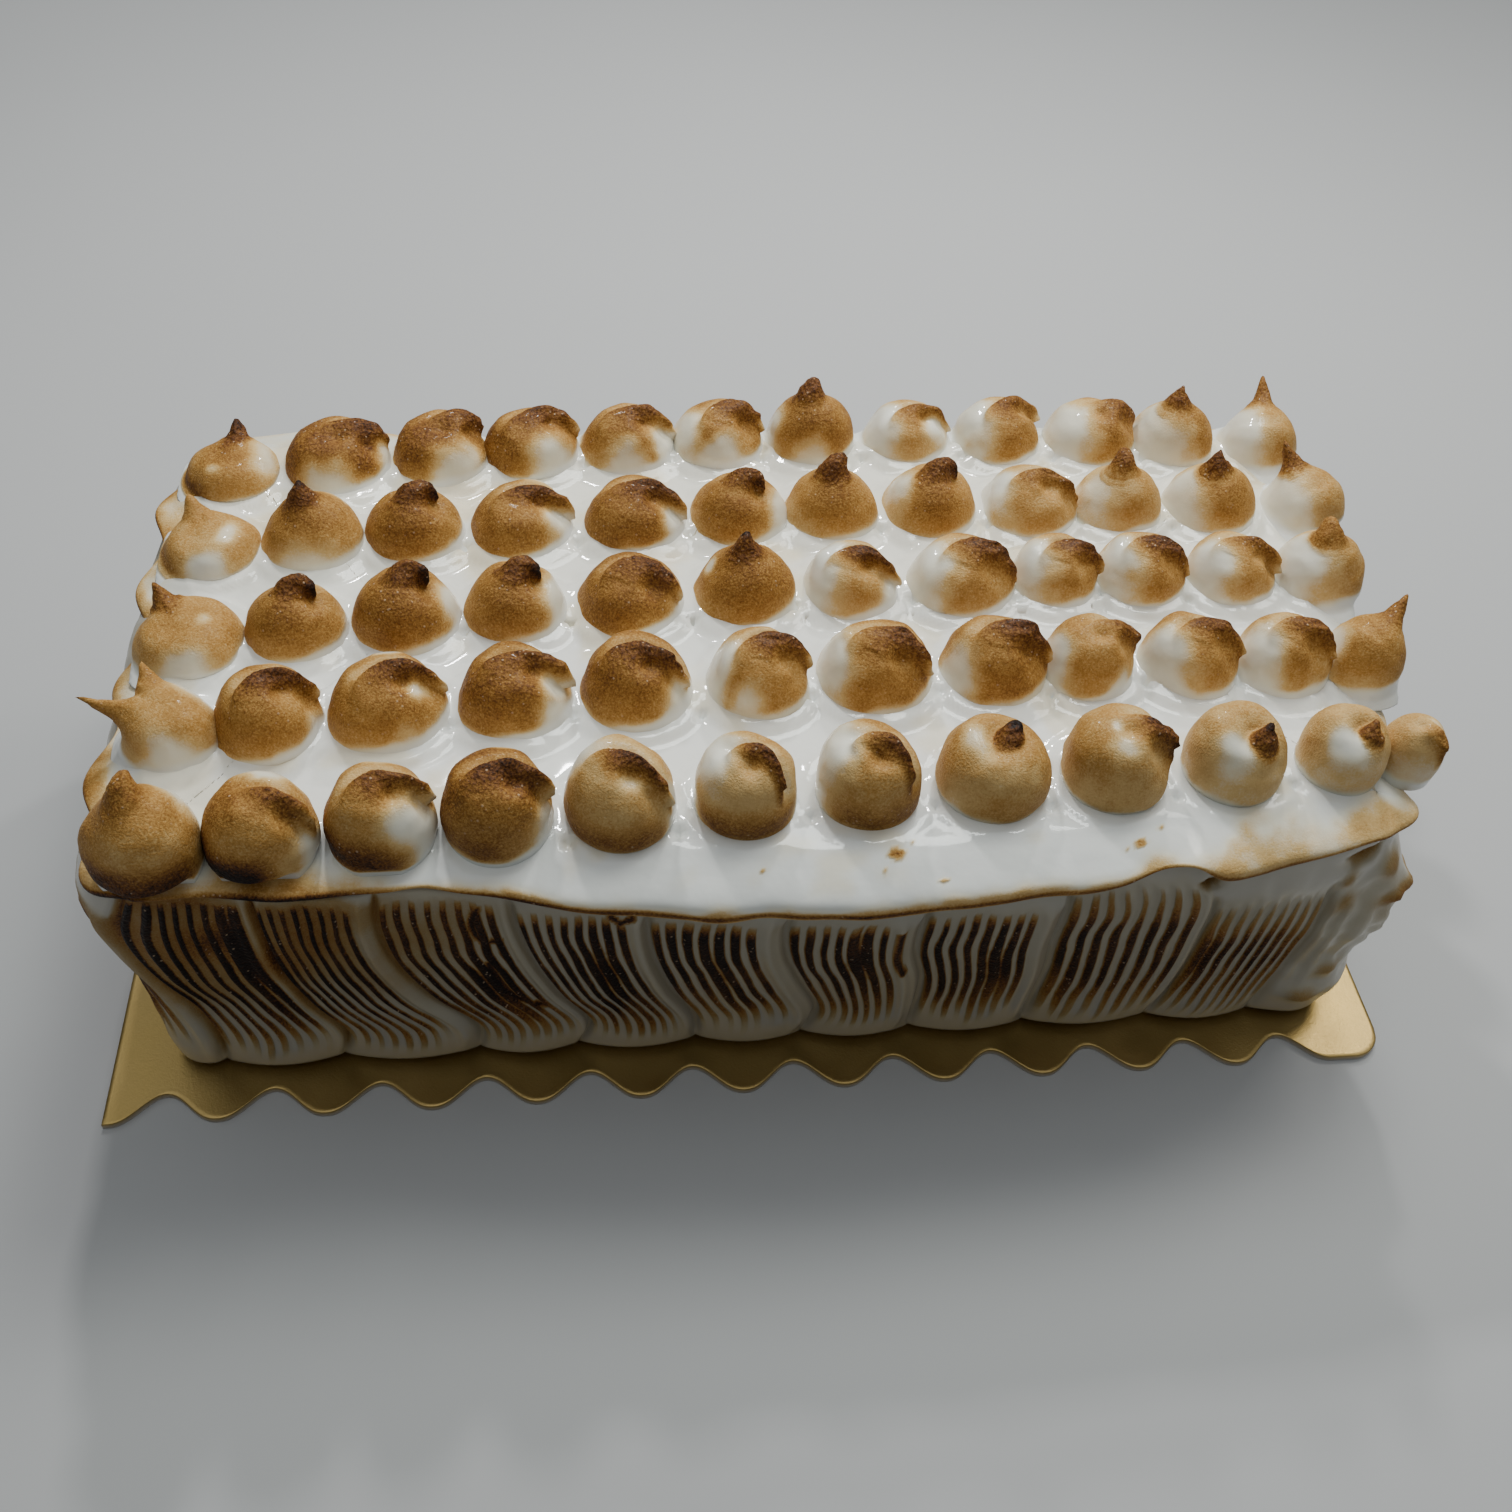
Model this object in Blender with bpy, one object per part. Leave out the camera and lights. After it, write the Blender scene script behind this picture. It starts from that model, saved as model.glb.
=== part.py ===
"""Baked alaska: a loaf of ice cream cake under torched meringue, on its scalloped gold card.

Frame: metres, +Z up. The origin is the centre of the card's underside, +X runs along the
loaf and +Y runs to its back. Sizes below are millimetres and are scaled by MM when used.

The loaf is uncut, so it is one solid. Its sides are combed meringue, laid on in curved
swathes that end in lobes on the card. A spread slab of meringue covers the top and hangs
over the sides, and five rows of twelve piped kisses stand on it. The kisses of a row run
into each other at their skirts, so each row is one piece.
"""

import math

import bmesh
import bpy

MM = 0.001
GAP = 0.3                      # clearance between two neighbouring pieces

# Card
CARD_LENGTH = 325.0
CARD_DEPTH = 170.0
CARD_THICK = 2.0
SCALLOP_PITCH = 25.8
SCALLOP_DEPTH = 7.5
SCALLOP_FIRST = -148.5         # x of the first valley
SCALLOP_COUNT = 12             # valleys along one edge
SCALLOP_STEPS = 7              # points from one valley to the next
LAST_LOBE = 0.3                # the last lobe runs into the corner this far along and down
CARD_CORNER = 8.0
CARD_CORNER_STEPS = 4

# Combed loaf under the slab, measured at its foot
LOAF_LEFT = -145.5
LOAF_RIGHT = 151.0
LOAF_FRONT = -72.0
LOAF_BACK = 72.0
LOAF_CORNER = 12.0
LOAF_TOP = 74.0
LOAF_FLARE = 4.0               # how far the sides lean out from foot to top
LEFT_SAG = 5.5                 # the coat sags out high up at the left end
LEFT_SAG_RISE = 0.82
RIGHT_SAG = 7.0                # and half way up at the right end
RIGHT_SAG_RISE = 0.6
SAG_SPREAD = 0.25
END_SKEW = 4.0                 # the right end runs out towards the back
SWATHE_PITCH = 27.0            # one stroke of the comb
SWATHE_RELIEF = 3.6            # depth of the notch between two strokes at the foot
NOTCH_FADE = 0.75              # share of the notch that is gone at the top
SWATHE_SWEEP = 10.0            # how far a stroke's line wanders along the side
SWEEP_SPREAD = 130.0           # the lean changes along the loaf over this length
SWATHE_CURL = 2.5              # the lazy S in each stroke
FOOT_TUCK = 1.5                # the side tucks in by this at its foot
FOOT_RISE = 0.1                # over this share of its height
SWATHE_STEPS = 4
LOAF_LEVELS = (0.0, 0.1, 0.4, 0.7, 1.0)

# Slab of meringue on top
SLAB_LEFT = -151.5
SLAB_RIGHT = 154.0
SLAB_FRONT = -77.5
SLAB_BACK = 80.0
SLAB_CORNER = 14.0
SLAB_BOTTOM = LOAF_TOP + GAP
SLAB_TOP = 83.7
SLAB_BULGE = 8.0               # the front rim swells outward in the middle
BULGE_CENTRE = 10.0
BULGE_SPREAD = 85.0
RIM_WAVE = 0.9                 # height of the rim's waves
RIM_LONG = 19.0                # and the lengths of the long and the short one, over one radian
RIM_SHORT = 7.3
RIM_SHORT_SHARE = 0.6
BACK_BULGE = 0.3               # share of the front's swell that the back has
RIM_STEPS = 84
RIM_SECTION = ((-5.0, 0.0), (-0.6, 0.3), (-0.4, 0.75), (-3.6, 1.0))

# Piped kisses: five rows, front to back. Each row starts at its left kiss and bows gently
# towards the back; the gaps are the hand-piped spacings from one kiss to the next, and tall
# is how high the bodies of the row's kisses stand.
KISS_BASE = SLAB_TOP + GAP
KISS_SIDES = 9
KISS_SKIRT = 1.4               # the skirt reaches this much past half of the widest gap
TIP_SIDES_RESOLUTION = 1
CRUST_HEIGHT = 0.8             # the small crusty kiss at the end, as a share of its row's height
ROWS = (
    dict(x=-134.5, y=-70, rise=29, sag=14, tall=18.0,
         gaps=(23, 24.5, 24.5, 26.5, 27.5, 27.5, 28.5, 28.5, 28.5, 26, 17),
         kinds="curl beak comma comma comma comma comma nub beak nub nub crust"),
    dict(x=-135, y=-36.25, rise=39.5, sag=27, tall=14.5,
         gaps=(20.5, 26.5, 28.5, 28, 29, 28.5, 29, 23.5, 25, 23.5, 20.5),
         kinds="twin comma comma flop comma lobe lobe lobe beak lobe lobe horn"),
    dict(x=-136, y=-5.4, rise=40, sag=25.5, tall=13.0,
         gaps=(24.5, 25.5, 26.5, 28, 29, 27, 28.5, 24.5, 23, 24, 23.5),
         kinds="saddle hook hook hook lobe spike comma lobe lobe lobe flop curl"),
    dict(x=-135.5, y=28.4, rise=32, sag=22.5, tall=12.5,
         gaps=(24.5, 25.5, 27, 29.5, 27, 25, 27, 27, 24.5, 26, 27),
         kinds="saddle spike hook flop flop hook curl hook comma curl spike horn"),
    dict(x=-134, y=59.3, rise=40.5, sag=33.5, tall=12.5,
         gaps=(26.5, 27, 24.5, 26, 25.5, 25.5, 28, 26, 26.5, 23.5, 25.5),
         kinds="saddle beak beak flop flop lobe curl comma flop beak spike horn"),
)

# Tip drawn out of each kind of kiss: its thickness at the root, its length, its lean from
# upright at the root, the further curl to its end, and the way it leans, in degrees from +X.
# A kiss whose foot is smaller than its neighbours' has its own radius.
KINDS = {
    "beak":   dict(root=5.5, length=12.0, lean=60, curl=50, way=-5),
    "comma":  dict(root=5.0, length=14.0, lean=50, curl=80, way=-8),
    "flop":   dict(root=5.0, length=16.0, lean=55, curl=65, way=0),
    "lobe":   dict(root=6.0, length=13.0, lean=45, curl=60, way=-15),
    "hook":   dict(root=6.0, length=13.0, lean=15, curl=90, way=12),
    "nub":    dict(root=5.0, length=8.0, lean=10, curl=25, way=20),
    "spike":  dict(root=5.5, length=13.0, lean=5, curl=15, way=75),
    "curl":   dict(root=5.5, length=11.0, lean=10, curl=50, way=80),
    "horn":   dict(root=6.0, length=13.0, lean=35, curl=10, way=60),
    "saddle": dict(root=6.0, length=11.0, lean=40, curl=0, way=110),
    "twin":   dict(root=6.0, length=19.0, lean=65, curl=5, way=168),
    "crust":  dict(root=4.0, length=6.0, lean=60, curl=30, way=-60, radius=8.5),
}
DOME_PROFILE = ((1.0, 0.0), (0.87, 0.35), (0.55, 0.82))
TIP_POINTS = 4
TIP_SUNK = 0.75                # share of its root thickness by which a tip starts in its dome
TIP_TAPER = 0.8
TIP_END = 0.7                  # thickness left at the very end

MODEL_NAME = "baked_alaska_loaf"


def clear_scene():
    """Empty the scene of whatever objects it opened with."""
    for old in list(bpy.data.objects):
        bpy.data.objects.remove(old, do_unlink=True)


def new_collection(name):
    """A collection under the scene's own."""
    group = bpy.data.collections.new(name)
    bpy.context.scene.collection.children.link(group)
    return group


def material(name, color, roughness, metallic=0.0):
    """A Principled material with the piece's own colour, roughness and metallic value."""
    finish = bpy.data.materials.new(name)
    finish.use_nodes = True
    shader = finish.node_tree.nodes["Principled BSDF"]
    shader.inputs["Base Color"].default_value = (*color, 1.0)
    shader.inputs["Roughness"].default_value = roughness
    shader.inputs["Metallic"].default_value = metallic
    return finish


def finish_mesh(bm, name, group, finish=None, sharp=60):
    """Turn a bmesh in millimetres into an object in metres, faces out and shaded smooth."""
    bmesh.ops.scale(bm, vec=(MM, MM, MM), verts=bm.verts)
    bmesh.ops.recalc_face_normals(bm, faces=bm.faces)
    mesh = bpy.data.meshes.new(name)
    bm.to_mesh(mesh)
    bm.free()
    mesh.shade_smooth()
    mesh.set_sharp_from_angle(angle=math.radians(sharp))
    piece = bpy.data.objects.new(name, mesh)
    group.objects.link(piece)
    if finish:
        piece.data.materials.append(finish)
    return piece


# ---------------------------------------------------------------- outlines

def round_box(left, right, front, back, corner, steps):
    """Points evenly spaced round a rectangle with round corners, anticlockwise.

    Each is (x, y, nx, ny, s): the place, the outward direction and the way run along the
    edge from the middle of the front.
    """
    arc = corner * math.pi / 2
    width = right - left - 2 * corner
    depth = back - front - 2 * corner
    runs = (("line", width / 2, 270, right - corner, front + corner),
            ("arc", arc, 270, right - corner, front + corner),
            ("line", depth, 0, right - corner, back - corner),
            ("arc", arc, 0, right - corner, back - corner),
            ("line", width, 90, left + corner, back - corner),
            ("arc", arc, 90, left + corner, back - corner),
            ("line", depth, 180, left + corner, front + corner),
            ("arc", arc, 180, left + corner, front + corner),
            ("line", width / 2, 270, (left + right) / 2, front + corner))
    total = 2 * (width + depth) + 4 * arc
    points = []
    for step in range(steps):
        way = s = total * step / steps
        for kind, length, turn, cx, cy in runs:
            if way <= length:
                break
            way -= length
        if kind == "arc":
            angle = math.radians(turn) + way / corner
            nx, ny = math.cos(angle), math.sin(angle)
            x, y = cx + corner * nx, cy + corner * ny
        else:
            angle = math.radians(turn)
            nx, ny = math.cos(angle), math.sin(angle)
            x = cx + corner * nx + (length - way) * ny
            y = cy + corner * ny - (length - way) * nx
        points.append((x, y, nx, ny, s))
    return points


def skewed(x, y):
    """Move a place on the right half along X as the right end slants."""
    return x + END_SKEW * (y / SLAB_BACK) * max(x, 0.0) / SLAB_RIGHT, y


def loft(bm, rings):
    """Skin a stack of rings with equally many points and close both ends."""
    loops = [[bm.verts.new(point) for point in ring] for ring in rings]
    count = len(loops[0])
    for low, high in zip(loops, loops[1:]):
        for i in range(count):
            j = (i + 1) % count
            bm.faces.new((low[i], low[j], high[j], high[i]))
    bm.faces.new(reversed(loops[0]))
    bm.faces.new(loops[-1])
    bmesh.ops.triangulate(bm, faces=bm.faces)


# ---------------------------------------------------------------- card

def scallop_edge():
    """Front edge of the card, left to right: round lobes with valleys at even steps."""
    half = CARD_LENGTH / 2
    front = -CARD_DEPTH / 2
    last = SCALLOP_FIRST + (SCALLOP_COUNT - 1) * SCALLOP_PITCH
    points = [(-half, front)]
    for step in range((SCALLOP_COUNT - 1) * SCALLOP_STEPS + 1):
        turn = 2 * math.pi * step / SCALLOP_STEPS
        x = SCALLOP_FIRST + SCALLOP_PITCH * step / SCALLOP_STEPS
        points.append((x, front + SCALLOP_DEPTH * (1 + math.cos(turn)) / 2))
    points.append((last + SCALLOP_PITCH * LAST_LOBE, front + SCALLOP_DEPTH * LAST_LOBE))
    for step in range(CARD_CORNER_STEPS + 1):
        turn = math.radians(270 + 90 * step / CARD_CORNER_STEPS)
        points.append((half - CARD_CORNER + CARD_CORNER * math.cos(turn),
                       front + CARD_CORNER + CARD_CORNER * math.sin(turn)))
    return points


def make_card(group, finish):
    """Thin card whose two long edges are scalloped and whose short edges are straight."""
    edge = scallop_edge()
    outline = edge + [(-x, -y) for x, y in edge]
    curve = bpy.data.curves.new("card_outline", "CURVE")
    curve.dimensions = "2D"
    curve.fill_mode = "BOTH"
    curve.extrude = CARD_THICK * MM / 2
    spline = curve.splines.new("POLY")
    spline.points.add(len(outline) - 1)
    for point, (x, y) in zip(spline.points, outline):
        point.co = (x * MM, y * MM, 0.0, 1.0)
    spline.use_cyclic_u = True
    return solid_from_curve(curve, "cake_card", group, finish, CARD_THICK / 2)


def solid_from_curve(curve, name, group, finish=None, lift=0.0):
    """Make a curve's evaluated shape a welded mesh object, raised by lift, and drop it."""
    guide = bpy.data.objects.new(name + "_guide", curve)
    bpy.context.scene.collection.objects.link(guide)
    bpy.context.view_layer.update()
    ready = guide.evaluated_get(bpy.context.evaluated_depsgraph_get())
    mesh = bpy.data.meshes.new_from_object(ready)
    bpy.data.objects.remove(guide, do_unlink=True)
    bm = bmesh.new()
    bm.from_mesh(mesh)
    bpy.data.meshes.remove(mesh)
    bmesh.ops.remove_doubles(bm, verts=bm.verts, dist=0.01 * MM)
    bmesh.ops.translate(bm, vec=(0, 0, lift * MM), verts=bm.verts)
    bmesh.ops.scale(bm, vec=(1 / MM,) * 3, verts=bm.verts)
    return finish_mesh(bm, name, group, finish)


# ---------------------------------------------------------------- combed loaf

def swathe_relief(s, rise):
    """Outward swell of the comb strokes: round backs with notches between them.

    The strokes' line wanders along the side in a lazy S as it comes down, and the
    notches fade towards the top.
    """
    sweep = SWATHE_SWEEP * math.sin(s / SWEEP_SPREAD) * (1 - rise)
    sweep += SWATHE_CURL * math.sin(rise * math.pi * 2)
    turn = math.pi * (s + sweep) / SWATHE_PITCH
    notch = 1 - abs(math.sin(turn))
    return -SWATHE_RELIEF * notch * (1 - NOTCH_FADE * rise)


def end_sag(nx, rise):
    """How far the coat sags out at the two ends at one height."""
    if nx < 0:
        return LEFT_SAG * -nx * math.exp(-((rise - LEFT_SAG_RISE) / SAG_SPREAD) ** 2)
    return RIGHT_SAG * nx * math.exp(-((rise - RIGHT_SAG_RISE) / SAG_SPREAD) ** 2)


def make_loaf(group, finish):
    """Solid loaf: sides flare upward, strokes of the comb swell and notch the foot."""
    bottom = CARD_THICK + GAP
    around = 2 * (LOAF_RIGHT - LOAF_LEFT + LOAF_BACK - LOAF_FRONT)
    count = SWATHE_STEPS * round(around / SWATHE_PITCH)
    base = round_box(LOAF_LEFT, LOAF_RIGHT, LOAF_FRONT, LOAF_BACK, LOAF_CORNER, count)
    rings = []
    for rise in LOAF_LEVELS:
        tuck = FOOT_TUCK * (1 - min(rise / FOOT_RISE, 1.0))
        ring = []
        for x, y, nx, ny, s in base:
            out = LOAF_FLARE * rise - tuck + swathe_relief(s, rise) + end_sag(nx, rise)
            place = skewed(x + nx * out, y + ny * out)
            ring.append((*place, bottom + (LOAF_TOP - bottom) * rise))
        rings.append(ring)
    bm = bmesh.new()
    loft(bm, rings)
    return finish_mesh(bm, "combed_loaf", group, finish)


# ---------------------------------------------------------------- slab

def rim_offset(x, y, s):
    """Waves of the slab's rim, with the swell in the middle of the front."""
    wave = RIM_WAVE * (math.sin(s / RIM_LONG) + RIM_SHORT_SHARE * math.sin(s / RIM_SHORT + 1.0))
    swell = SLAB_BULGE * math.exp(-((x - BULGE_CENTRE) / BULGE_SPREAD) ** 2)
    return wave + (swell if y < 0 else BACK_BULGE * swell)


def make_slab(group, finish):
    """Spread top layer: flat above, with a rolled and wavy rim that overhangs the loaf."""
    base = round_box(SLAB_LEFT, SLAB_RIGHT, SLAB_FRONT, SLAB_BACK, SLAB_CORNER, RIM_STEPS)
    rings = []
    for inset, rise in RIM_SECTION:
        ring = []
        for x, y, nx, ny, s in base:
            out = inset + rim_offset(x, y, s)
            place = skewed(x + nx * out, y + ny * out)
            ring.append((*place, SLAB_BOTTOM + (SLAB_TOP - SLAB_BOTTOM) * rise))
        rings.append(ring)
    bm = bmesh.new()
    loft(bm, rings)
    return finish_mesh(bm, "top_slab", group, finish)


# ---------------------------------------------------------------- kisses

def row_places(row):
    """Centres of the kisses of one row."""
    count = len(row["gaps"])
    x = row["x"]
    places = []
    for index in range(count + 1):
        u = index / count
        places.append((x, row["y"] + row["rise"] * u - row["sag"] * u * u))
        if index < count:
            x += row["gaps"][index]
    return places


def skirt_radius(row, index, kind):
    """Foot radius of a kiss, so that its skirt meets the skirts beside it."""
    if "radius" in kind:
        return kind["radius"]
    gaps = row["gaps"]
    near = gaps[max(index - 1, 0):index + 1]
    return max(near) / 2 + KISS_SKIRT


def add_dome(name, place, radius, height, group):
    """Turned body of a kiss: skirt, round shoulder and closed crown."""
    bm = bmesh.new()
    outline = [(0.0, 0.0)] + [(r * radius, z * height) for r, z in DOME_PROFILE] + [(0.0, height)]
    points = [bm.verts.new((r, 0.0, z)) for r, z in outline]
    edges = [bm.edges.new(pair) for pair in zip(points, points[1:])]
    bmesh.ops.spin(bm, geom=points + edges, cent=(0, 0, 0), axis=(0, 0, 1),
                   angle=2 * math.pi, steps=KISS_SIDES, use_duplicate=False)
    bmesh.ops.remove_doubles(bm, verts=bm.verts, dist=0.01)
    bmesh.ops.translate(bm, vec=(place[0], place[1], KISS_BASE), verts=bm.verts)
    return finish_mesh(bm, name, group)


def add_tip(name, place, kind, height, group):
    """Tip drawn out of the crown: a tapering tube that leans and curls its own way."""
    steps = TIP_POINTS - 1
    way = math.radians(kind["way"])
    root_rise = height - TIP_SUNK * kind["root"]
    across, rise = 0.0, root_rise
    points = []
    for step in range(TIP_POINTS):
        u = step / steps
        points.append((across, rise, kind["root"] * (1 - u) ** TIP_TAPER + TIP_END))
        angle = math.radians(kind["lean"] + kind["curl"] * u)
        across += math.sin(angle) * kind["length"] / steps
        rise += math.cos(angle) * kind["length"] / steps
    curve = bpy.data.curves.new(name, "CURVE")
    curve.dimensions = "3D"
    curve.bevel_depth = MM
    curve.bevel_resolution = TIP_SIDES_RESOLUTION
    curve.use_fill_caps = True
    spline = curve.splines.new("POLY")
    spline.points.add(steps)
    for point, (along, up, thick) in zip(spline.points, points):
        x = place[0] + along * math.cos(way)
        y = place[1] + along * math.sin(way)
        point.co = (x * MM, y * MM, (KISS_BASE + up) * MM, 1.0)
        point.radius = thick
    return solid_from_curve(curve, name, group)


def make_kiss_row(number, row, group, cutters, finish):
    """One row of kisses, united where tips leave their domes and skirts meet."""
    members = bpy.data.collections.new(f"kiss_row_{number}_members")
    cutters.children.link(members)
    first = None
    for index, (place, word) in enumerate(zip(row_places(row), row["kinds"].split())):
        kind = KINDS[word]
        name = f"row_{number}_kiss_{index + 1}"
        target = group if index == 0 else members
        height = row["tall"] * (CRUST_HEIGHT if word == "crust" else 1.0)
        dome = add_dome(name, place, skirt_radius(row, index, kind), height, target)
        add_tip(name + "_tip", place, kind, height, members)
        first = first or dome
    for member in members.objects:
        member.hide_render = True
        member.display_type = "WIRE"
    first.name = f"kiss_row_{number}"
    first.data.materials.append(finish)
    union = first.modifiers.new("one_row", "BOOLEAN")
    union.operation = "UNION"
    union.operand_type = "COLLECTION"
    union.collection = members
    union.solver = "EXACT"
    return first


def main():
    """Build the card, the loaf, the slab and the rows of kisses."""
    clear_scene()
    parts = new_collection(MODEL_NAME)
    cutters = new_collection("kiss_members")
    gold = material("gold_foil_card", (0.47, 0.36, 0.16), 0.35, 0.9)
    combed = material("combed_meringue", (0.62, 0.55, 0.45), 0.6)
    spread = material("spread_meringue", (0.82, 0.81, 0.76), 0.4)
    torched = material("torched_meringue", (0.55, 0.31, 0.13), 0.6)
    make_card(parts, gold)
    make_loaf(parts, combed)
    make_slab(parts, spread)
    for number, row in enumerate(ROWS, start=1):
        make_kiss_row(number, row, parts, cutters, torched)


main()
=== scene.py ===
"""Baked alaska: the finished surfaces of the loaf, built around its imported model."""

import math

import bpy
import numpy as np
from mathutils import Matrix


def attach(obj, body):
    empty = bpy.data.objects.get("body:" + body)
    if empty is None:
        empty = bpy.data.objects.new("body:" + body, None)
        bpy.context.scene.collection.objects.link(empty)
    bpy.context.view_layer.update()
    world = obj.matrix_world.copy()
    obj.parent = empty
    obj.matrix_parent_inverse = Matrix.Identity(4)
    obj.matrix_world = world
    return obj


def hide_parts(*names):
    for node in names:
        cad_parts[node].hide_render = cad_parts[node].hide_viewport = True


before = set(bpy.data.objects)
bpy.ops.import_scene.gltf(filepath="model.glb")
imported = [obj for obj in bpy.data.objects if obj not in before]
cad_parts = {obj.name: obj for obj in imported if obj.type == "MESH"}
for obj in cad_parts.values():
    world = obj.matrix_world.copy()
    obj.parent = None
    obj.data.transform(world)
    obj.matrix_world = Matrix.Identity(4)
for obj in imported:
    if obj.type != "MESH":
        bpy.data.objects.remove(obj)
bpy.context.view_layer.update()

MM = 0.001
TURN = 2 * np.pi


# ---------------------------------------------------------------- numbers and noise

def smooth(low, high, value):
    """0 below low, 1 above high, and an S-curve between them."""
    u = np.clip((np.asarray(value, float) - low) / (high - low), 0.0, 1.0)
    return u * u * (3 - 2 * u)


def bell(value, width):
    """A rounded bump: exp of minus the square of value over width."""
    return np.exp(-(np.asarray(value, float) / width) ** 2)


TABLE = np.random.default_rng(7).uniform(-1, 1, 8192)


def noise(points, size, seed=0):
    """Smooth noise from -1 to 1: random values on a lattice of cells this size, blended by S-curves."""
    places = np.asarray(points, float) / size + 71.3 * (seed + 1)
    cell = np.floor(places).astype(np.int64)
    part = places - cell
    part = part * part * (3 - 2 * part)
    total = 0.0
    for corner in range(8):
        shift = np.array([corner & 1, corner >> 1 & 1, corner >> 2 & 1])
        at = cell + shift
        index = (at[..., 0] * 73856093 ^ at[..., 1] * 19349663 ^ at[..., 2] * 83492791 ^ seed * 7919) & 8191
        weight = np.prod(np.where(shift, part, 1 - part), axis=-1)
        total = total + weight * TABLE[index]
    return total


def layered(points, size, seed=0, layers=3):
    """Noise summed over halving sizes, each layer half as strong."""
    total = 0.0
    for layer in range(layers):
        total = total + noise(points, size / 2 ** layer, seed + 11 * layer) / 2 ** layer
    return total


def curve_through(stations, count):
    """A smooth path through stations: cubic pieces whose slopes follow the neighbours, evenly stepped."""
    stations = np.asarray(stations, float)
    padded = np.vstack([2 * stations[0] - stations[1], stations, 2 * stations[-1] - stations[-2]])
    u = np.linspace(0, len(stations) - 1, count)
    i = np.minimum(u.astype(int), len(stations) - 2)
    f = (u - i)[:, None]
    a, b, c, d = padded[i], padded[i + 1], padded[i + 2], padded[i + 3]
    return b + 0.5 * f * (c - a + f * (2 * a - 5 * b + 4 * c - d + f * (3 * (b - c) + d - a)))


# ---------------------------------------------------------------- meshes

def grid_faces(rows, columns, start):
    """Quads between neighbouring rings of a grid that closes round its columns."""
    i, j = np.meshgrid(np.arange(rows - 1), np.arange(columns), indexing="ij")
    k = (j + 1) % columns
    quads = np.stack([i * columns + j, i * columns + k, (i + 1) * columns + k, (i + 1) * columns + j], -1)
    return quads.reshape(-1, 4) + start


def mesh_piece(name, sheets, finish):
    """One mesh object from sheets of (points in mm, {attribute: values}).

    A sheet wraps round its columns, and each of its ends is closed by a fan to its middle.
    """
    places, quads, fans, marks = [], [], [], {}
    start = 0
    for points, paint in sheets:
        rows, columns = points.shape[:2]
        first, last, hub = start, start + (rows - 1) * columns, start + rows * columns
        j = np.arange(columns)
        k = (j + 1) % columns
        quads.append(grid_faces(rows, columns, start))
        fans.append(np.stack([first + k, first + j, np.full(columns, hub)], -1))
        fans.append(np.stack([last + j, last + k, np.full(columns, hub + 1)], -1))
        places += [points.reshape(-1, 3), np.array([points[0].mean(0), points[-1].mean(0)])]
        for key, values in paint.items():
            ends = [values[0].mean(), values[-1].mean()]
            marks.setdefault(key, []).append(np.concatenate([values.reshape(-1), ends]))
        start = hub + 2
    places = np.concatenate(places) * MM
    quads, fans = np.concatenate(quads), np.concatenate(fans)
    mesh = bpy.data.meshes.new(name)
    mesh.vertices.add(len(places))
    mesh.vertices.foreach_set("co", places.astype(np.float32).ravel())
    mesh.loops.add(quads.size + fans.size)
    mesh.loops.foreach_set("vertex_index", np.concatenate([quads.ravel(), fans.ravel()]).astype(np.int32))
    mesh.polygons.add(len(quads) + len(fans))
    starts = np.concatenate([np.arange(len(quads)) * 4, quads.size + np.arange(len(fans)) * 3])
    mesh.polygons.foreach_set("loop_start", starts.astype(np.int32))
    mesh.update(calc_edges=True)
    mesh.validate()
    for key, values in marks.items():
        layer = mesh.attributes.new(key, "FLOAT", "POINT")
        layer.data.foreach_set("value", np.concatenate(values).astype(np.float32))
    mesh.shade_smooth()
    mesh.materials.append(finish)
    piece = bpy.data.objects.new(name, mesh)
    bpy.context.scene.collection.objects.link(piece)
    return piece


# ---------------------------------------------------------------- shader nodes

# The numbers of the outputs used: Texture Coordinate's, Attribute's, Mix's and Separate XYZ's.
GENERATED, OBJECT, FACTOR, COLOUR, UPWARD = 0, 3, 2, 2, 2


class Wire:
    """A socket whose operators add Math nodes, and whose node method adds any other node."""

    def __init__(self, tree, socket):
        self.tree, self.socket = tree, socket

    def node(self, kind, settings=None, out=0, **inputs):
        """A node of this type: its settings are set first, then its sockets' values or links.

        A socket is given by its name, with _ for a space, or as i and its number.
        """
        made = self.tree.nodes.new(kind)
        for key, value in (settings or {}).items():
            if key == "stops":
                stops = made.color_ramp.elements
                while len(stops) < len(value):
                    stops.new(1.0)
                for stop, (place, color) in zip(stops, value):
                    stop.position, stop.color = place, color
            else:
                setattr(made, key, value)
        for key, value in inputs.items():
            name = key.replace("_", " ")
            socket = made.inputs[int(key[1:])] if key[0] == "i" and key[1:].isdigit() else made.inputs[name]
            if isinstance(value, Wire):
                self.tree.links.new(value.socket, socket)
            else:
                socket.default_value = value
        return Wire(self.tree, made.outputs[out])

    def math(self, operation, *terms):
        """A Math node on these terms."""
        sockets = {f"i{i}": term for i, term in enumerate(terms)}
        return self.node("ShaderNodeMath", {"operation": operation}, **sockets)

    def __add__(self, other):
        return self.math("ADD", self, other)

    def __mul__(self, other):
        return self.math("MULTIPLY", self, other)

    def __sub__(self, other):
        return self.math("SUBTRACT", self, other)

    def __rsub__(self, other):
        return self.math("SUBTRACT", other, self)

    __radd__ = __add__
    __rmul__ = __mul__

    def ramp(self, low, high, bottom=0.0, top=1.0):
        """An S-curve from bottom to top as the value goes from low to high."""
        return self.node("ShaderNodeMapRange", {"interpolation_type": "SMOOTHSTEP"}, Value=self,
                         From_Min=low, From_Max=high, To_Min=bottom, To_Max=top)

    def blend(self, one, other):
        """Colour one where this is 0, and the other where it is 1."""
        return self.node("ShaderNodeMix", {"data_type": "RGBA"}, out=COLOUR, i0=self, i6=one, i7=other)


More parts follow.
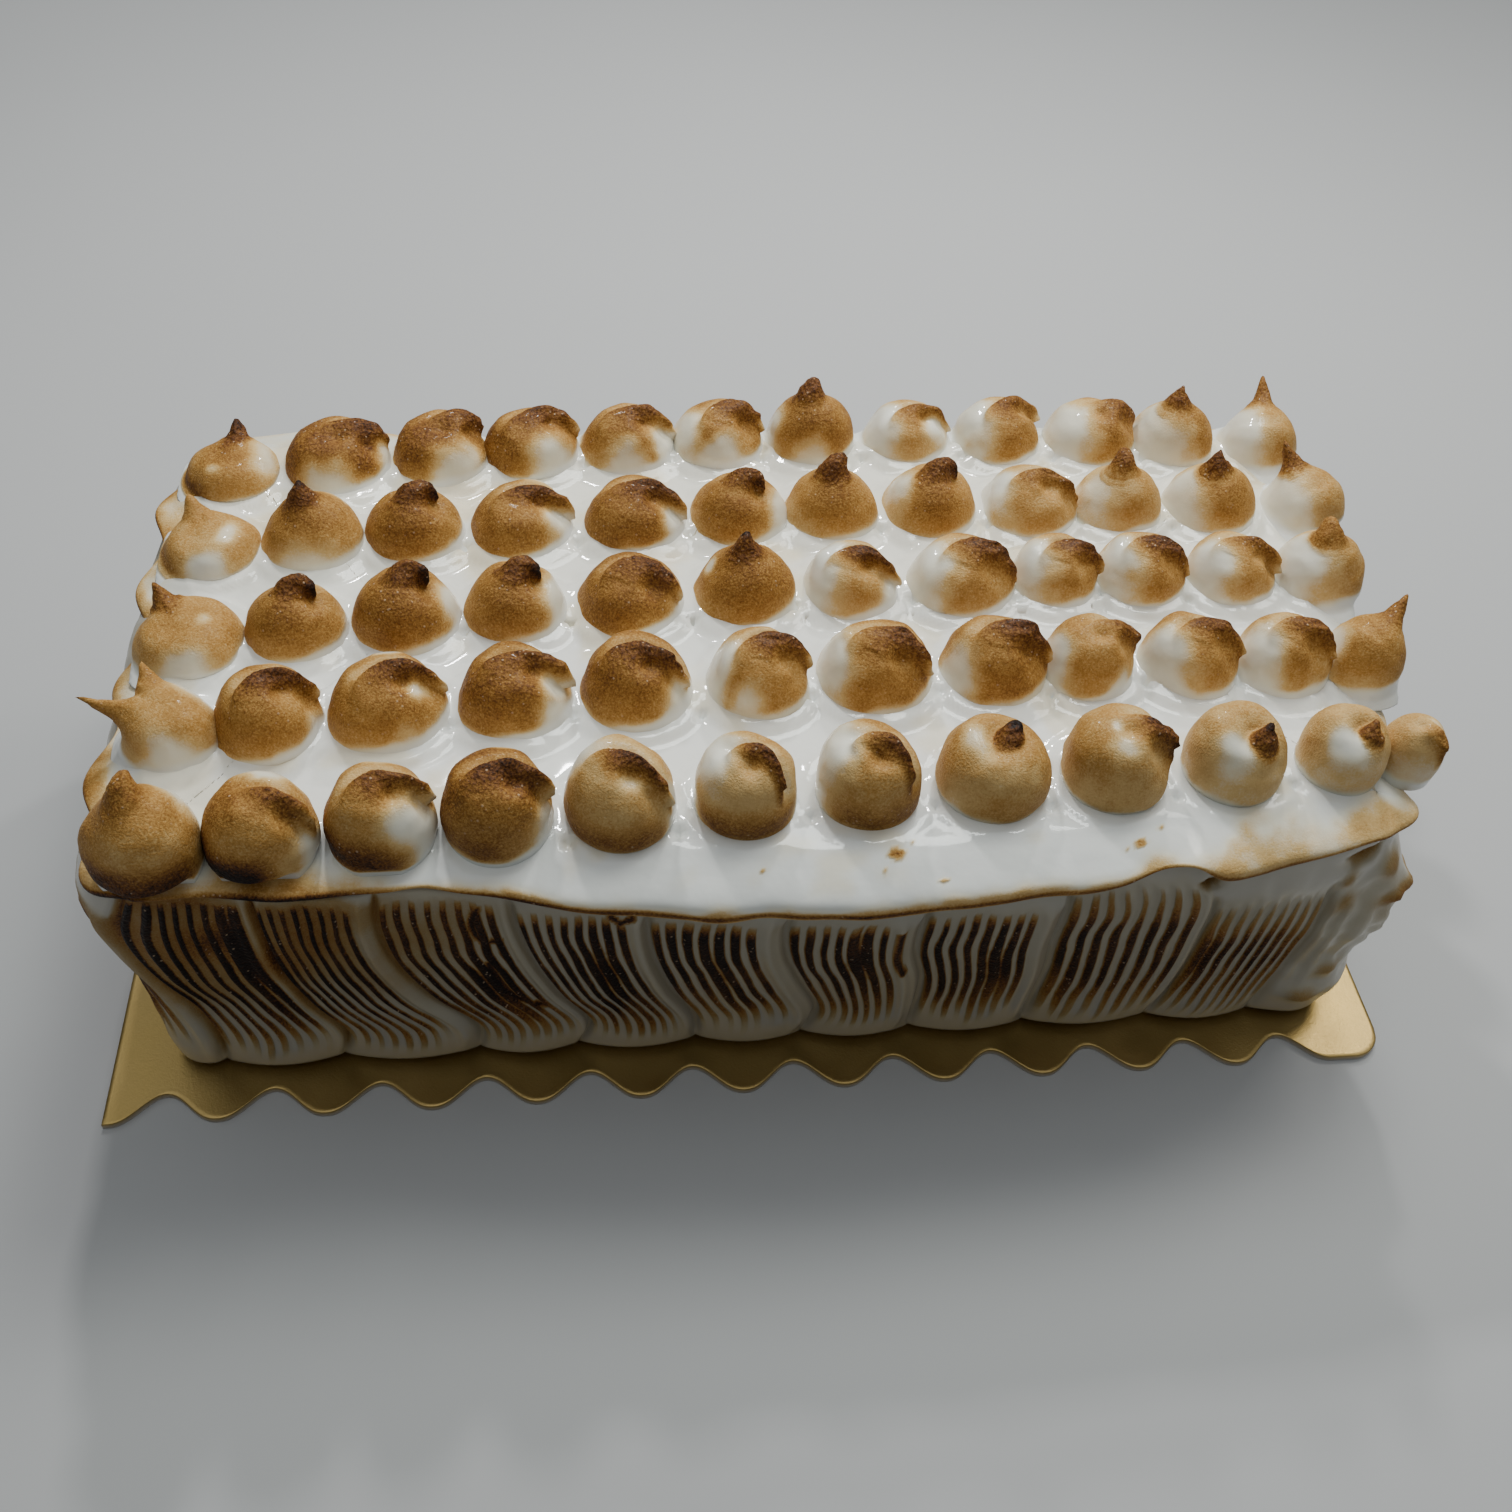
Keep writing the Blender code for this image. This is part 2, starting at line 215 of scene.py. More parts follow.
def new_finish(name, **constants):
    """A material, its Principled shader with these constants, and a wire to start from."""
    finish = bpy.data.materials.new(name)
    finish.use_nodes = True
    tree = finish.node_tree
    shader = tree.nodes["Principled BSDF"]
    for key, value in constants.items():
        shader.inputs[key.replace("_", " ")].default_value = value
    return finish, shader, Wire(tree, None)


def plug(shader, name, wire):
    """Link a wire to one of the shader's sockets."""
    wire.tree.links.new(wire.socket, shader.inputs[name])


def rgb(red, green, blue):
    return (red, green, blue, 1.0)


# From bare meringue through gold and brown to burnt.
TOAST_STOPS = [(0.00, rgb(0.80, 0.81, 0.77)),
               (0.10, rgb(0.78, 0.73, 0.58)),
               (0.24, rgb(0.65, 0.44, 0.185)),
               (0.40, rgb(0.45, 0.238, 0.062)),
               (0.56, rgb(0.27, 0.120, 0.024)),
               (0.72, rgb(0.135, 0.048, 0.012)),
               (0.86, rgb(0.042, 0.016, 0.007)),
               (1.00, rgb(0.010, 0.005, 0.004))]
# The combed sides are thinner and smoked all over, so their bare meringue is tan; painted shade
# darkens it further to a dull tan, as if the whole side stood in shadow.
SMOKED_AND_SHADED_STOPS = [(0.00, rgb(0.40, 0.37, 0.31)),
                (0.10, rgb(0.39, 0.345, 0.25)),
                (0.24, rgb(0.35, 0.245, 0.11)),
                (0.40, rgb(0.32, 0.18, 0.055))] + TOAST_STOPS[4:]


def meringue(name, bare_rough, wave, ribs=False):
    """Torched meringue: the toast attribute browns it, roughens it and gives it a sugary grain.

    With ribs the comb's thin burnt lines are drawn from the comb attributes: a line runs where
    the cosine of the rib count is low, as wide and as dark as the attributes say.
    """
    finish, shader, wire = new_finish(name, Specular_IOR_Level=0.14, Coat_Roughness=bare_rough)
    place = wire.node("ShaderNodeTexCoord", out=OBJECT)

    def painted(attribute):
        return wire.node("ShaderNodeAttribute", {"attribute_name": attribute}, out=FACTOR)

    toast = painted("toast")
    grain = wire.node("ShaderNodeTexNoise", Vector=place, Scale=1900.0, Detail=2.0, Roughness=0.7)
    cloud = wire.node("ShaderNodeTexNoise", Vector=place, Scale=230.0, Detail=4.0, Roughness=0.6)
    crumb = wire.node("ShaderNodeTexVoronoi", Vector=place, Scale=900.0, Randomness=1.0)
    if ribs:
        swing = wire.math("COSINE", painted("rib_count") * TURN)
        ridge = (0.5 - swing * 0.5 + painted("rib_wide") - 1.0 + (cloud - 0.5) * 0.25).ramp(-0.34, 0.24)
        ridge = ridge * painted("rib_dark")
        toast = toast.math("MAXIMUM", toast, ridge)
    browned = toast.ramp(0.05, 0.3)
    rough = toast.ramp(0.20, 0.60) * 0.75 + 0.25
    sugar = (grain - 0.5) * 0.70 + (crumb - 0.35) * 0.08
    level = toast + browned * rough * sugar + browned * (cloud - 0.5) * 0.18
    # With ribs the side's stops are used, whose bare colour holds painted shade.
    colour = level.node("ShaderNodeValToRGB", {"stops": SMOKED_AND_SHADED_STOPS if ribs else TOAST_STOPS}, Fac=level)
    bubble = wire.node("ShaderNodeTexVoronoi", Vector=place, Scale=560.0, Randomness=1.0)
    pick = wire.node("ShaderNodeTexNoise", Vector=place, Scale=300.0, Detail=0.0)
    speck = bubble.ramp(0.10, 0.20, 1.0, 0.0) * pick.ramp(0.46, 0.55) * toast.ramp(0.3, 0.6)
    colour = (speck * 0.6).blend(colour, rgb(0.62, 0.44, 0.28))
    plug(shader, "Base Color", colour)
    plug(shader, "Roughness", browned * 0.12 + 0.5 + (cloud - 0.5) * 0.1)
    plug(shader, "Coat Weight", 0.85 - browned * 0.81)
    swell = wire.node("ShaderNodeTexNoise", Vector=place, Scale=wave, Detail=3.0)
    crust = toast.ramp(0.42, 0.70)
    height = browned * (grain * 1.3 + cloud * 1.2 + crust * crumb * 1.8 + speck * 0.6) + swell * 1.8
    if ribs:
        height = height + ridge * 0.6
    bump = wire.node("ShaderNodeBump", Strength=0.55, Distance=0.0004, Height=height)
    plug(shader, "Normal", bump)
    return finish


def gold_foil(name):
    """Gold foil on card: satin metal with a fine grain and smudges, and plain board below."""
    finish, shader, wire = new_finish(name, Specular_IOR_Level=0.5)
    place = wire.node("ShaderNodeTexCoord", out=OBJECT)
    foil = wire.node("ShaderNodeAttribute", {"attribute_name": "foil"}, out=FACTOR)
    smudge = wire.node("ShaderNodeTexNoise", Vector=place, Scale=60.0, Detail=4.0)
    grain = wire.node("ShaderNodeTexNoise", Vector=place, Scale=1800.0, Detail=2.0)
    gold = smudge.blend(rgb(0.36, 0.25, 0.08), rgb(0.52, 0.37, 0.15))
    board = grain.blend(rgb(0.52, 0.47, 0.40), rgb(0.62, 0.57, 0.50))
    plug(shader, "Base Color", foil.blend(board, gold))
    plug(shader, "Metallic", foil)
    plug(shader, "Roughness", (smudge * 0.2 + grain * 0.1 + 0.24) * foil + 0.7 * (1.0 - foil))
    plug(shader, "Normal", wire.node("ShaderNodeBump", Strength=0.25, Distance=0.0002, Height=grain))
    return finish


# ---------------------------------------------------------------- outlines

def box_path(left, right, front, back, corner, pitches, turns):
    """A rectangle with round corners as arrays x, y, nx, ny, s, anticlockwise from the front left.

    nx, ny point outwards and s is the way run. pitches are the steps along the front, right,
    back and left edges and turns the steps round a corner. A centre runs along each edge and
    stands still while the angle turns.
    """
    centres = np.array([(left + corner, front + corner), (right - corner, front + corner),
                        (right - corner, back - corner), (left + corner, back - corner)])
    middles, angles = [], []
    for side in range(4):
        here, there = centres[side], centres[(side + 1) % 4]
        turn = np.radians(270 + 90 * side)
        steps = int(np.linalg.norm(there - here) / pitches[side])
        share = np.arange(steps)[:, None] / steps
        middles += [here + share * (there - here), np.repeat(there[None], turns, 0)]
        angles += [np.full(steps, turn), turn + np.arange(turns) / turns * np.pi / 2]
    middle, angle = np.concatenate(middles), np.concatenate(angles)
    nx, ny = np.cos(angle), np.sin(angle)
    x, y = middle[:, 0] + corner * nx, middle[:, 1] + corner * ny
    s = np.concatenate([[0], np.cumsum(np.hypot(np.diff(x), np.diff(y)))])
    return x, y, nx, ny, s


def along(value, stations, rounding=3.0):
    """A line through (place, size) stations with its corners rounded off over this width."""
    places, sizes = zip(*stations)
    shifts = rounding * np.linspace(-1, 1, 5)
    return np.mean([np.interp(value + shift, places, sizes) for shift in shifts], axis=0)


def skewed(x, y):
    """Move a place on the right half along X as the right end slants."""
    return x + END_SKEW * (y / SLAB_BACK) * np.maximum(x, 0.0) / SLAB_RIGHT


# ---------------------------------------------------------------- slab

SLAB_LEFT, SLAB_RIGHT, SLAB_FRONT, SLAB_BACK = -151.5, 154.0, -77.5, 80.0
SLAB_TOP, SLAB_CORNER, END_SKEW = 83.7, 14.0, 4.0
CORNER_STEPS = 16
# The lip's section from underneath, over the rim and on to the top: how far it stands out past
# the slab's line, and how far below the top in shares of the lip's depth there.
LIP_SECTION = ((-30.0, 0.96), (-9.0, 0.95), (-3.6, 1.00), (-1.9, 1.00), (-0.6, 0.90), (0.0, 0.70),
               (-0.3, 0.50), (-1.5, 0.36), (-4.0, 0.23), (-8.0, 0.10), (-13.0, 0.0))
# Rings along that section, the ring on the lip's edge, rings from there to the middle line, half
# that line's length, and how far past it and below it the last rings tuck in.
LIP_RINGS, EDGE_RING, TOP_RINGS, MIDDLE_HALF = 46, 22, 72, 85.0
TUCK_SHARE, TUCK_DOWN, TUCK_DEEP = 1.03, 0.15, 6.0
# Along the front rim: how far it swells out past the slab's line, and how deep its lip hangs.
RIM_SWELL = ((-150, -1.5), (-137, 0.8), (-126, 0.0), (-110, 1.8), (-90, 2.0), (-75, 0.8), (-60, 2.8),
             (-40, 6.0), (-20, 8.6), (20, 9.0), (44, 8.2), (66, 7.2), (78, 5.0), (88, 3.2), (101, 4.8),
             (120, 2.4), (136, -1.5), (150, -6.0))
LIP_DROP = ((-150, 5.0), (-138, 4.2), (-120, 3.4), (-95, 4.4), (-80, 3.0), (-60, 6.0), (-40, 8.6),
            (-20, 10.5), (30, 10.0), (60, 8.0), (76, 6.5), (84, 2.6), (93, 2.8), (99, 7.0), (110, 8.4),
            (125, 6.0), (138, 4.0), (150, 6.0))
# How brown the front rim's edge is, and how far the browning spreads from it, in mm.
RIM_BROWN = ((-150, 0.95), (-138, 0.90), (-132, 0.40), (-124, 0.46), (-118, 0.98), (-95, 0.92), (-84, 0.40),
             (-72, 0.44), (-62, 0.80), (-40, 0.74), (0, 0.66), (60, 0.62), (80, 0.58), (90, 0.30),
             (98, 0.62), (125, 0.52), (150, 0.62))
RIM_REACH = ((-150, 7.0), (-132, 4.0), (-118, 8.0), (-95, 7.0), (-80, 1.4), (-60, 2.6), (-40, 2.0),
             (20, 2.4), (70, 2.6), (88, 3.5), (98, 9.0), (112, 12.0), (125, 8.0), (136, 14.0), (150, 12.0))
# Small torched spots on the front strip: place, size in mm and browning.
STRIP_SPOTS = ((23, -76, 2.6, 0.55), (20, -80, 1.0, 0.4), (27, -73, 1.1, 0.35), (78, -75.5, 1.8, 0.45),
               (75, -77, 1.2, 0.35), (84, -72, 1.0, 0.3), (-6, -78, 1.0, 0.3), (33, -82, 1.2, 0.3))


def rim_swell(x, y, nx, ny, s):
    """How far the slab's rim stands past its line: swells, hand waves, lobes at the left end."""
    front, back = np.maximum(-ny, 0), np.maximum(ny, 0)
    left, right = np.maximum(-nx, 0), np.maximum(nx, 0)
    wave = 0.5 * np.sin(s / 11.0) + 0.35 * np.sin(s / 4.7 + 1.0)
    return (front ** 2 * along(x, RIM_SWELL) + back ** 2 * (2.0 + 1.6 * np.sin(x / 17.0 + 2.0))
            + left ** 2 * 2.0 * np.cos((s + 4.0) / 5.1)
            + right ** 2 * (1.6 * np.sin(s / 6.3) - 3.6 * smooth(-15, -60, y)) + wave)


def lip_drop(x, ny, s):
    """How far the slab's lip hangs below its top."""
    front = np.maximum(-ny, 0) ** 2
    rest = 7.0 + 2.4 * np.sin(s / 13.0 + 1.0) + 1.2 * np.sin(s / 5.9)
    return front * along(x, LIP_DROP, 2.0) + (1 - front) * rest


def slab_mounds(x, y):
    """The soft rise round the kisses: domes that meet in creases, and a broken thin ridge of
    meringue at each kiss's foot.
    """
    total, ridges = 0.0 * x, 0.0
    broken = 0.5 + 0.7 * layered(np.stack([x, y, 0 * x], -1), 7.0, 31)
    for row in ROWS:
        for place, spec in zip(row_places(row), row["kisses"]):
            gap = np.hypot(x - place[0], y - place[1])
            dome = row["mound"] * np.maximum(1 - (gap / (1.55 * spec[2])) ** 2, 0.0)
            total = -smooth_least(-total, -dome, 0.5)
            ridges = ridges + bell(gap - 1.26 * spec[2], 1.1)
    return total + 0.60 * ridges * np.clip(broken, 0, 1)


def slab_pits(x, y):
    """Small pits where the skirts of two kisses of a row meet in front of them."""
    pits = 0.0
    for row in ROWS:
        places = row_places(row)
        for k in range(2, len(places) - 2):
            one, other = places[k], places[k + 1]
            pit_x = 0.5 * (one[0] + other[0]) + 1.5 * math.sin(7.0 * k + one[1])
            pit_y = 0.5 * (one[1] + other[1]) - 7.0 - 1.5 * math.sin(5.0 * k + one[0])
            size = 1.1 + 0.2 * math.sin(3.0 * k + one[1])
            pits = pits + bell(np.hypot(x - pit_x, y - pit_y), size)
    return pits


def slab_surface():
    """The spread top layer as rings from under its lip, round the rim and over to its middle.

    Each ring stands out from the slab's line by its share of the lip's section, with the
    swell and the lip's depth changing along the edge; the top rises in mounds round the
    kisses and closes on the middle line, where each half tucks in just below the other.
    """
    x, y, nx, ny, s = box_path(SLAB_LEFT, SLAB_RIGHT, SLAB_FRONT, SLAB_BACK, SLAB_CORNER,
                               (1.0, 1.35, 1.35, 1.35), CORNER_STEPS)
    swell, drop = rim_swell(x, y, nx, ny, s), lip_drop(x, ny, s)
    stations = np.array([(out + swell, SLAB_TOP - share * drop) for out, share in LIP_SECTION])
    rows = curve_through(stations.reshape(len(LIP_SECTION), -1), LIP_RINGS).reshape(LIP_RINGS, 2, -1)
    out, z = rows[:, 0], rows[:, 1]
    rim_x, rim_y = x + nx * out, y + ny * out
    share = np.append(np.linspace(0, 1, TOP_RINGS)[1:], TUCK_SHARE)[:, None]
    mid_x = np.clip(rim_x[-1], -MIDDLE_HALF, MIDDLE_HALF)
    px = np.concatenate([rim_x, rim_x[-1] + share * (mid_x - rim_x[-1])])
    py = np.concatenate([rim_y, rim_y[-1] * (1 - share)])
    pz = np.concatenate([z, np.repeat(z[-1:], len(share), 0)])
    points = np.stack([skewed(px, py), py, pz], -1)
    step = np.linalg.norm(np.diff(points, axis=0), axis=-1)
    from_lip = np.concatenate([np.zeros((1, len(x))), np.cumsum(step, axis=0)])
    from_lip = from_lip - from_lip[EDGE_RING]
    upper = smooth(-1.5, 0.3, pz - SLAB_TOP + 0.6)
    inside = smooth(2.0, 16.0, np.concatenate([-out + swell, np.full((len(share), len(x)), 20.0)]))
    rise = inside * slab_mounds(points[..., 0], points[..., 1])
    ripple = 0.22 * (1 - np.abs(layered(points, 7.0, 9, 2))) * smooth(0.4, 2.0, rise)
    pits = inside * slab_pits(points[..., 0], points[..., 1])
    points[..., 2] += rise + ripple - 2.2 * pits + upper * 0.45 * layered(points, 26.0, 3)
    points[..., 1] -= np.maximum(-ny, 0) * (1 - upper) * 0.4 * noise(points, 8.0, 5)
    toast = slab_toast(points, from_lip, nx, ny)
    points[-1, :, 2] -= TUCK_DOWN
    deep = points[-2:-1] - (0, 0, TUCK_DEEP)
    return np.concatenate([points, deep]), {"toast": np.concatenate([toast, toast[-1:]])}


def slab_toast(points, from_lip, nx, ny):
    """Browning of the slab: a dark line on the lip's edge that fades upwards over its reach,
    wider patches at the ends, faint clouds, a creamy back and a few spots.
    """
    x, y = points[..., 0], points[..., 1]
    front, left = np.maximum(-ny, 0) ** 2, np.maximum(-nx, 0) ** 2
    level = front * along(x, RIM_BROWN, 2.0) + left * 0.86 + (1 - front - left) * 0.42
    reach = front * along(x, RIM_REACH) + left * 7.0 + (1 - front - left) * 5.0
    patchy = layered(points, 8.0, 12)
    above = np.maximum(from_lip, 0.0)
    line = level * bell(above, 1.1 + 0.6 * smooth(-70, -100, x)) * (1.0 + 0.22 * patchy)
    fade = level * 0.50 * bell(above / (reach * (1 + 0.35 * patchy)), 1.0) * (0.9 + 0.45 * patchy)
    fade = np.maximum(line, fade)
    below = smooth(0.0, -2.5, from_lip)
    edge = fade * (1 - below) + below * (0.10 + 0.55 * level * smooth(-20, -110, x) * front)
    cloud = 0.08 * smooth(0.35, 0.8, layered(points, 16.0, 21)) * smooth(3.0, 8.0, from_lip)
    on_top, spots = from_lip > 1, 0.0
    for spot_x, spot_y, size, brown in STRIP_SPOTS:
        gap = np.hypot(x - spot_x, (y - spot_y) * 1.5) + 0.6 * noise(points, 2.0, 17)
        spots = spots + brown * (1 - smooth(0.45 * size, size, gap)) * on_top
    cream = 0.045 * smooth(-25, 40, y) * on_top
    return np.clip(edge + cloud + cream + spots, 0, 1)


# ---------------------------------------------------------------- combed sides

SIDE_LEFT, SIDE_RIGHT, SIDE_FRONT, SIDE_BACK, SIDE_CORNER = -146.0, 151.0, -71.0, 72.0, 10.0
FOOT = 2.1
# Rings up the side, and columns across each stroke of the front, the corner and the rest.
SIDE_RINGS, FRONT_COLUMNS, CORNER_COLUMNS, REST_COLUMNS = 66, 44, 34, 31
# Where the strokes of the rest begin as the way round, and how many there are.
REST_START, REST_STROKES = 300.0, 19
# The sides reach up behind the lip, and their ends turn in under the slab and over the card.
BEHIND_LIP, TURNED_IN = 2.2, 14.0
EDGE_HEIGHTS = (0, 16, 32, 48, 64, 80)
# The comb's strokes along the front: the left edge's x at those heights, the number of ribs and
# how much of the width they cover, where they end at the top and the foot, how dark they are, and
# a broad burnt band: its share across, height, half height and strength.
STROKES = (
    ((-135, -134, -136, -142, -143, -139), 8, 0.92, 80.5, 9, 1.00, (0.87, 60, 22, 1.3)),
    ((-107, -104, -110, -114, -115, -115), 8, 0.82, 79.0, 9, 0.97, (0.10, 50, 20, 0.4)),
    ((-73, -72, -82, -88, -90, -89), 8, 0.90, 78.0, 9, 0.94, (0.64, 32, 20, 0.9)),
    ((-49, -45, -52, -57, -60, -61), 8, 0.86, 74.0, 8, 0.96, (0.66, 44, 18, 0.6)),
    ((-18, -19, -25, -29, -31, -31), 7, 0.80, 72.0, 12, 0.96, (0.54, 42, 26, 0.8)),
    ((8, 12, 7, 2, 0, 2), 7, 0.78, 69.5, 9, 0.94, (0.70, 46, 18, 0.9)),
    ((38, 38, 37, 33, 32, 33), 8, 0.82, 71.0, 10, 0.94, (0.70, 36, 20, 0.9)),
    ((69, 69, 69, 67, 66, 64), 8, 0.93, 75.5, 7, 0.90, (0.16, 24, 20, 0.5)),
    ((102, 105, 106, 105, 103, 95), 9, 0.97, 65.0, 6, 0.84, (0.07, 34, 18, 0.9)),
)
CORNER_EDGE = (131, 133, 135, 136, 135, 137)
# Curls where the comb lifted off, as places along and up the front in mm.
COMB_HOOKS = (((-68, 72), (-69.5, 65), (-67.5, 58.5), (-64, 58.5)), ((-39, 72), (-37, 69.5), (-34.5, 71.5)),
              ((27, 62), (28, 48), (31, 39)), ((-67, 48), (-64, 36), (-60, 30), (-55, 27)))
# Golden blobs on the front right corner, and hollows under the lip painted dark as painted shade:
# place along the front, height, half width, half height, and browning for a blob or the painted
# darkness for a hollow.
CORNER_BLOBS = ((137.0, 65, 2.4, 3.6, 0.30), (139.5, 56, 2.2, 5.0, 0.28), (147.8, 64, 2.8, 3.0, 0.32),
                (149.2, 54, 2.4, 2.2, 0.44), (142.0, 14, 3.4, 2.8, 0.36), (146.0, 24, 2.6, 2.2, 0.24))
SHADED_LIP_HOLLOWS = ((140.5, 72.5, 5.0, 2.2, 0.80), (99.5, 71.5, 2.0, 1.4, 0.75))
# How far each end and the long sides stand out from the foot's line at each height.
LEFT_OUT = ((0, 0.0), (15, 1.2), (28, 1.6), (40, 2.6), (50, 5.6), (63, 8.4), (72, 7.4), (80, 5.0))
RIGHT_OUT = ((0, 3.0), (13, 5.4), (24, 3.6), (32, 5.4), (41, 7.4), (51, 6.6), (62, 3.6), (72, -1.0),
             (80, -4.0))
LONG_OUT = ((0, 0.0), (20, 0.8), (40, 2.0), (60, 3.6), (72, 4.4), (80, 4.6))


def stroke_table(total):
    """Every stroke's left edge as the way round at each height, and its looks as in STROKES.

    The front's strokes and the corner's are set; the others share the rest evenly, each
    leaning on its way down, with a little variation.
    """
    start = SIDE_LEFT + SIDE_CORNER
    edges = [np.array(stroke[0], float) - start for stroke in STROKES]
    looks = [stroke[1:] for stroke in STROKES]
    edges.append(np.array(CORNER_EDGE, float) - start)
    looks.append((4, 0.6, 60, 20, 0.30, (0.3, 40, 10, 0.0)))
    pitch = (total + edges[0][-1] - REST_START) / REST_STROKES
    lean = np.array((9.0, 8.0, 4.5, 1.5, 0.0, 0.0)) + edges[0].mean() - edges[0][-1] - 3.0
    for k in range(REST_STROKES):
        sway = 2.2 * math.sin(2.4 * k) * math.sin(math.pi * k / REST_STROKES)
        edges.append(REST_START + pitch * k + lean + sway)
        band = (0.3 + 0.25 * math.sin(5.0 * k), 40 + 14 * math.sin(3.1 * k), 16,
                0.5 + 0.4 * math.sin(1.9 * k))
        looks.append((7, 0.84 + 0.04 * math.sin(4 * k), 72 + 3 * math.sin(1.7 * k),
                      10 + 3 * math.sin(2.9 * k), 0.90, band))
    edges.append(edges[0] + total)
    return np.array(edges), looks


def stroke_way(edges, number, z):
    """The way round at a stroke number and height: between edges evenly, between heights smoothly."""
    dense = curve_through(edges.T, 81)
    row = np.clip(z / EDGE_HEIGHTS[-1], 0, 1) * 79.999
    column = np.minimum(number, len(edges) - 1.0001)
    i, j = row.astype(int), column.astype(int)
    f, g = row - i, column - j
    low = dense[i, j] * (1 - g) + dense[i, j + 1] * g
    high = dense[i + 1, j] * (1 - g) + dense[i + 1, j + 1] * g
    return low * (1 - f) + high * f


def comb_marks(number, looks, places, front):
    """Relief in mm and the browning attributes of the comb's strokes at these places.

    Across a stroke thin ribs stand between a sharp left edge and a smooth rolled right edge;
    they fade out below the collar and above the foot, where the stroke spreads into a lobe.
    """
    which = np.floor(number).astype(int)
    share = number - which
    table = np.array([look[:5] + look[5] for look in looks], float)
    ribs, cover, top, foot, dark, band_at, band_z, band_tall, band_dark = np.moveaxis(table[which], -1, 0)
    before = np.concatenate([[0], np.cumsum([look[0] for look in looks])])[which]
    z = places[..., 2]
    torched = smooth(-50, -125, places[..., 0]) * smooth(-30, -64, places[..., 1])
    torched = np.maximum(torched, 0.35 * (1 - front))
    along_rib = places / (1.0, 1.0, 2.6)
    count = before + ribs * np.minimum(share / cover, 1.0)
    inside = smooth(0.01, 0.05, share) * (1 - smooth(cover - 0.02, cover, share))
    wander = noise(places, 9.0, 33) * smooth(0.0, 0.15, share) * (share < cover - 0.1)
    count = count + inside * 0.16 * wander
    top = top - 10.0 * (share / cover - 0.45) ** 2 + 1.8 * noise(along_rib, 3.5, 35)
    foot = foot + 12.0 * (share / cover - 0.45) ** 2 + 3.0 * noise(along_rib, 3.5, 36)
    inside = inside * smooth(foot - 4, foot + 12, z) * (1 - smooth(top - 8.0 + 4.0 * torched, top + 0.5, z))
    band = band_dark * bell(share / cover - band_at, 0.13) * bell((z - band_z) / band_tall, 1.0)
    wide = 0.44 + 0.24 * noise(along_rib, 7.0, 34) + 0.70 * band
    rib = 0.5 - 0.5 * np.cos(TURN * count)
    across = np.sin(np.pi * share)
    notch = bell(np.minimum(share, 1 - share), 0.030)
    roll = bell(share - cover - 0.06, 0.045)
    body = smooth(FOOT, 14, z) * (1 - smooth(top - 2, top + 5, z))
    relief = body * (1.3 * across + 1.2 * roll - 2.0 * notch)
    relief = relief + (1 - smooth(FOOT + 2, 20, z)) * (2.6 * across ** 0.8 - 1.2)
    relief = relief + inside * (1.15 * rib ** 1.4 - 0.5) * (1 - 0.5 * band)
    relief = relief + 0.9 * bell(z - top - 3.0, 4.0) * (0.4 + 0.6 * across)
    fade = 0.46 + 0.50 * smooth(foot, foot + 28, z)
    fade = fade * (1 + 0.20 * noise(along_rib, 5.0, 38) + 0.06 * np.minimum(band, 1.0))
    late = smooth(top - 24, top - 4, z) * smooth(48, 90, places[..., 0])
    fade, wide = fade * (1 - 0.62 * late), wide - 0.20 * late
    clouded = 0.7 + 0.6 * noise(places, 11.0, 37)
    tan_and_crease_shade = torched * 0.32 * smooth(18, 60, z) * (1 - smooth(top, top + 5, z)) * clouded
    # Along the notches between strokes the tan deepens: painted shade in the creases.
    tan_and_crease_shade = tan_and_crease_shade + 0.45 * torched * notch * body
    tan_and_crease_shade = tan_and_crease_shade + 0.08 * smooth(0, 40, z) * (1 - smooth(top - 2, top + 4, z))
    tan_and_crease_shade = tan_and_crease_shade + 0.20 * inside * torched * smooth(30, 70, z) + 0.12 * np.minimum(band, 1.0) * inside
    return relief, {"toast": np.clip(tan_and_crease_shade, 0, 1), "rib_count": count, "rib_wide": wide,
                    "rib_dark": np.clip(dark * fade * inside, 0, 1)}


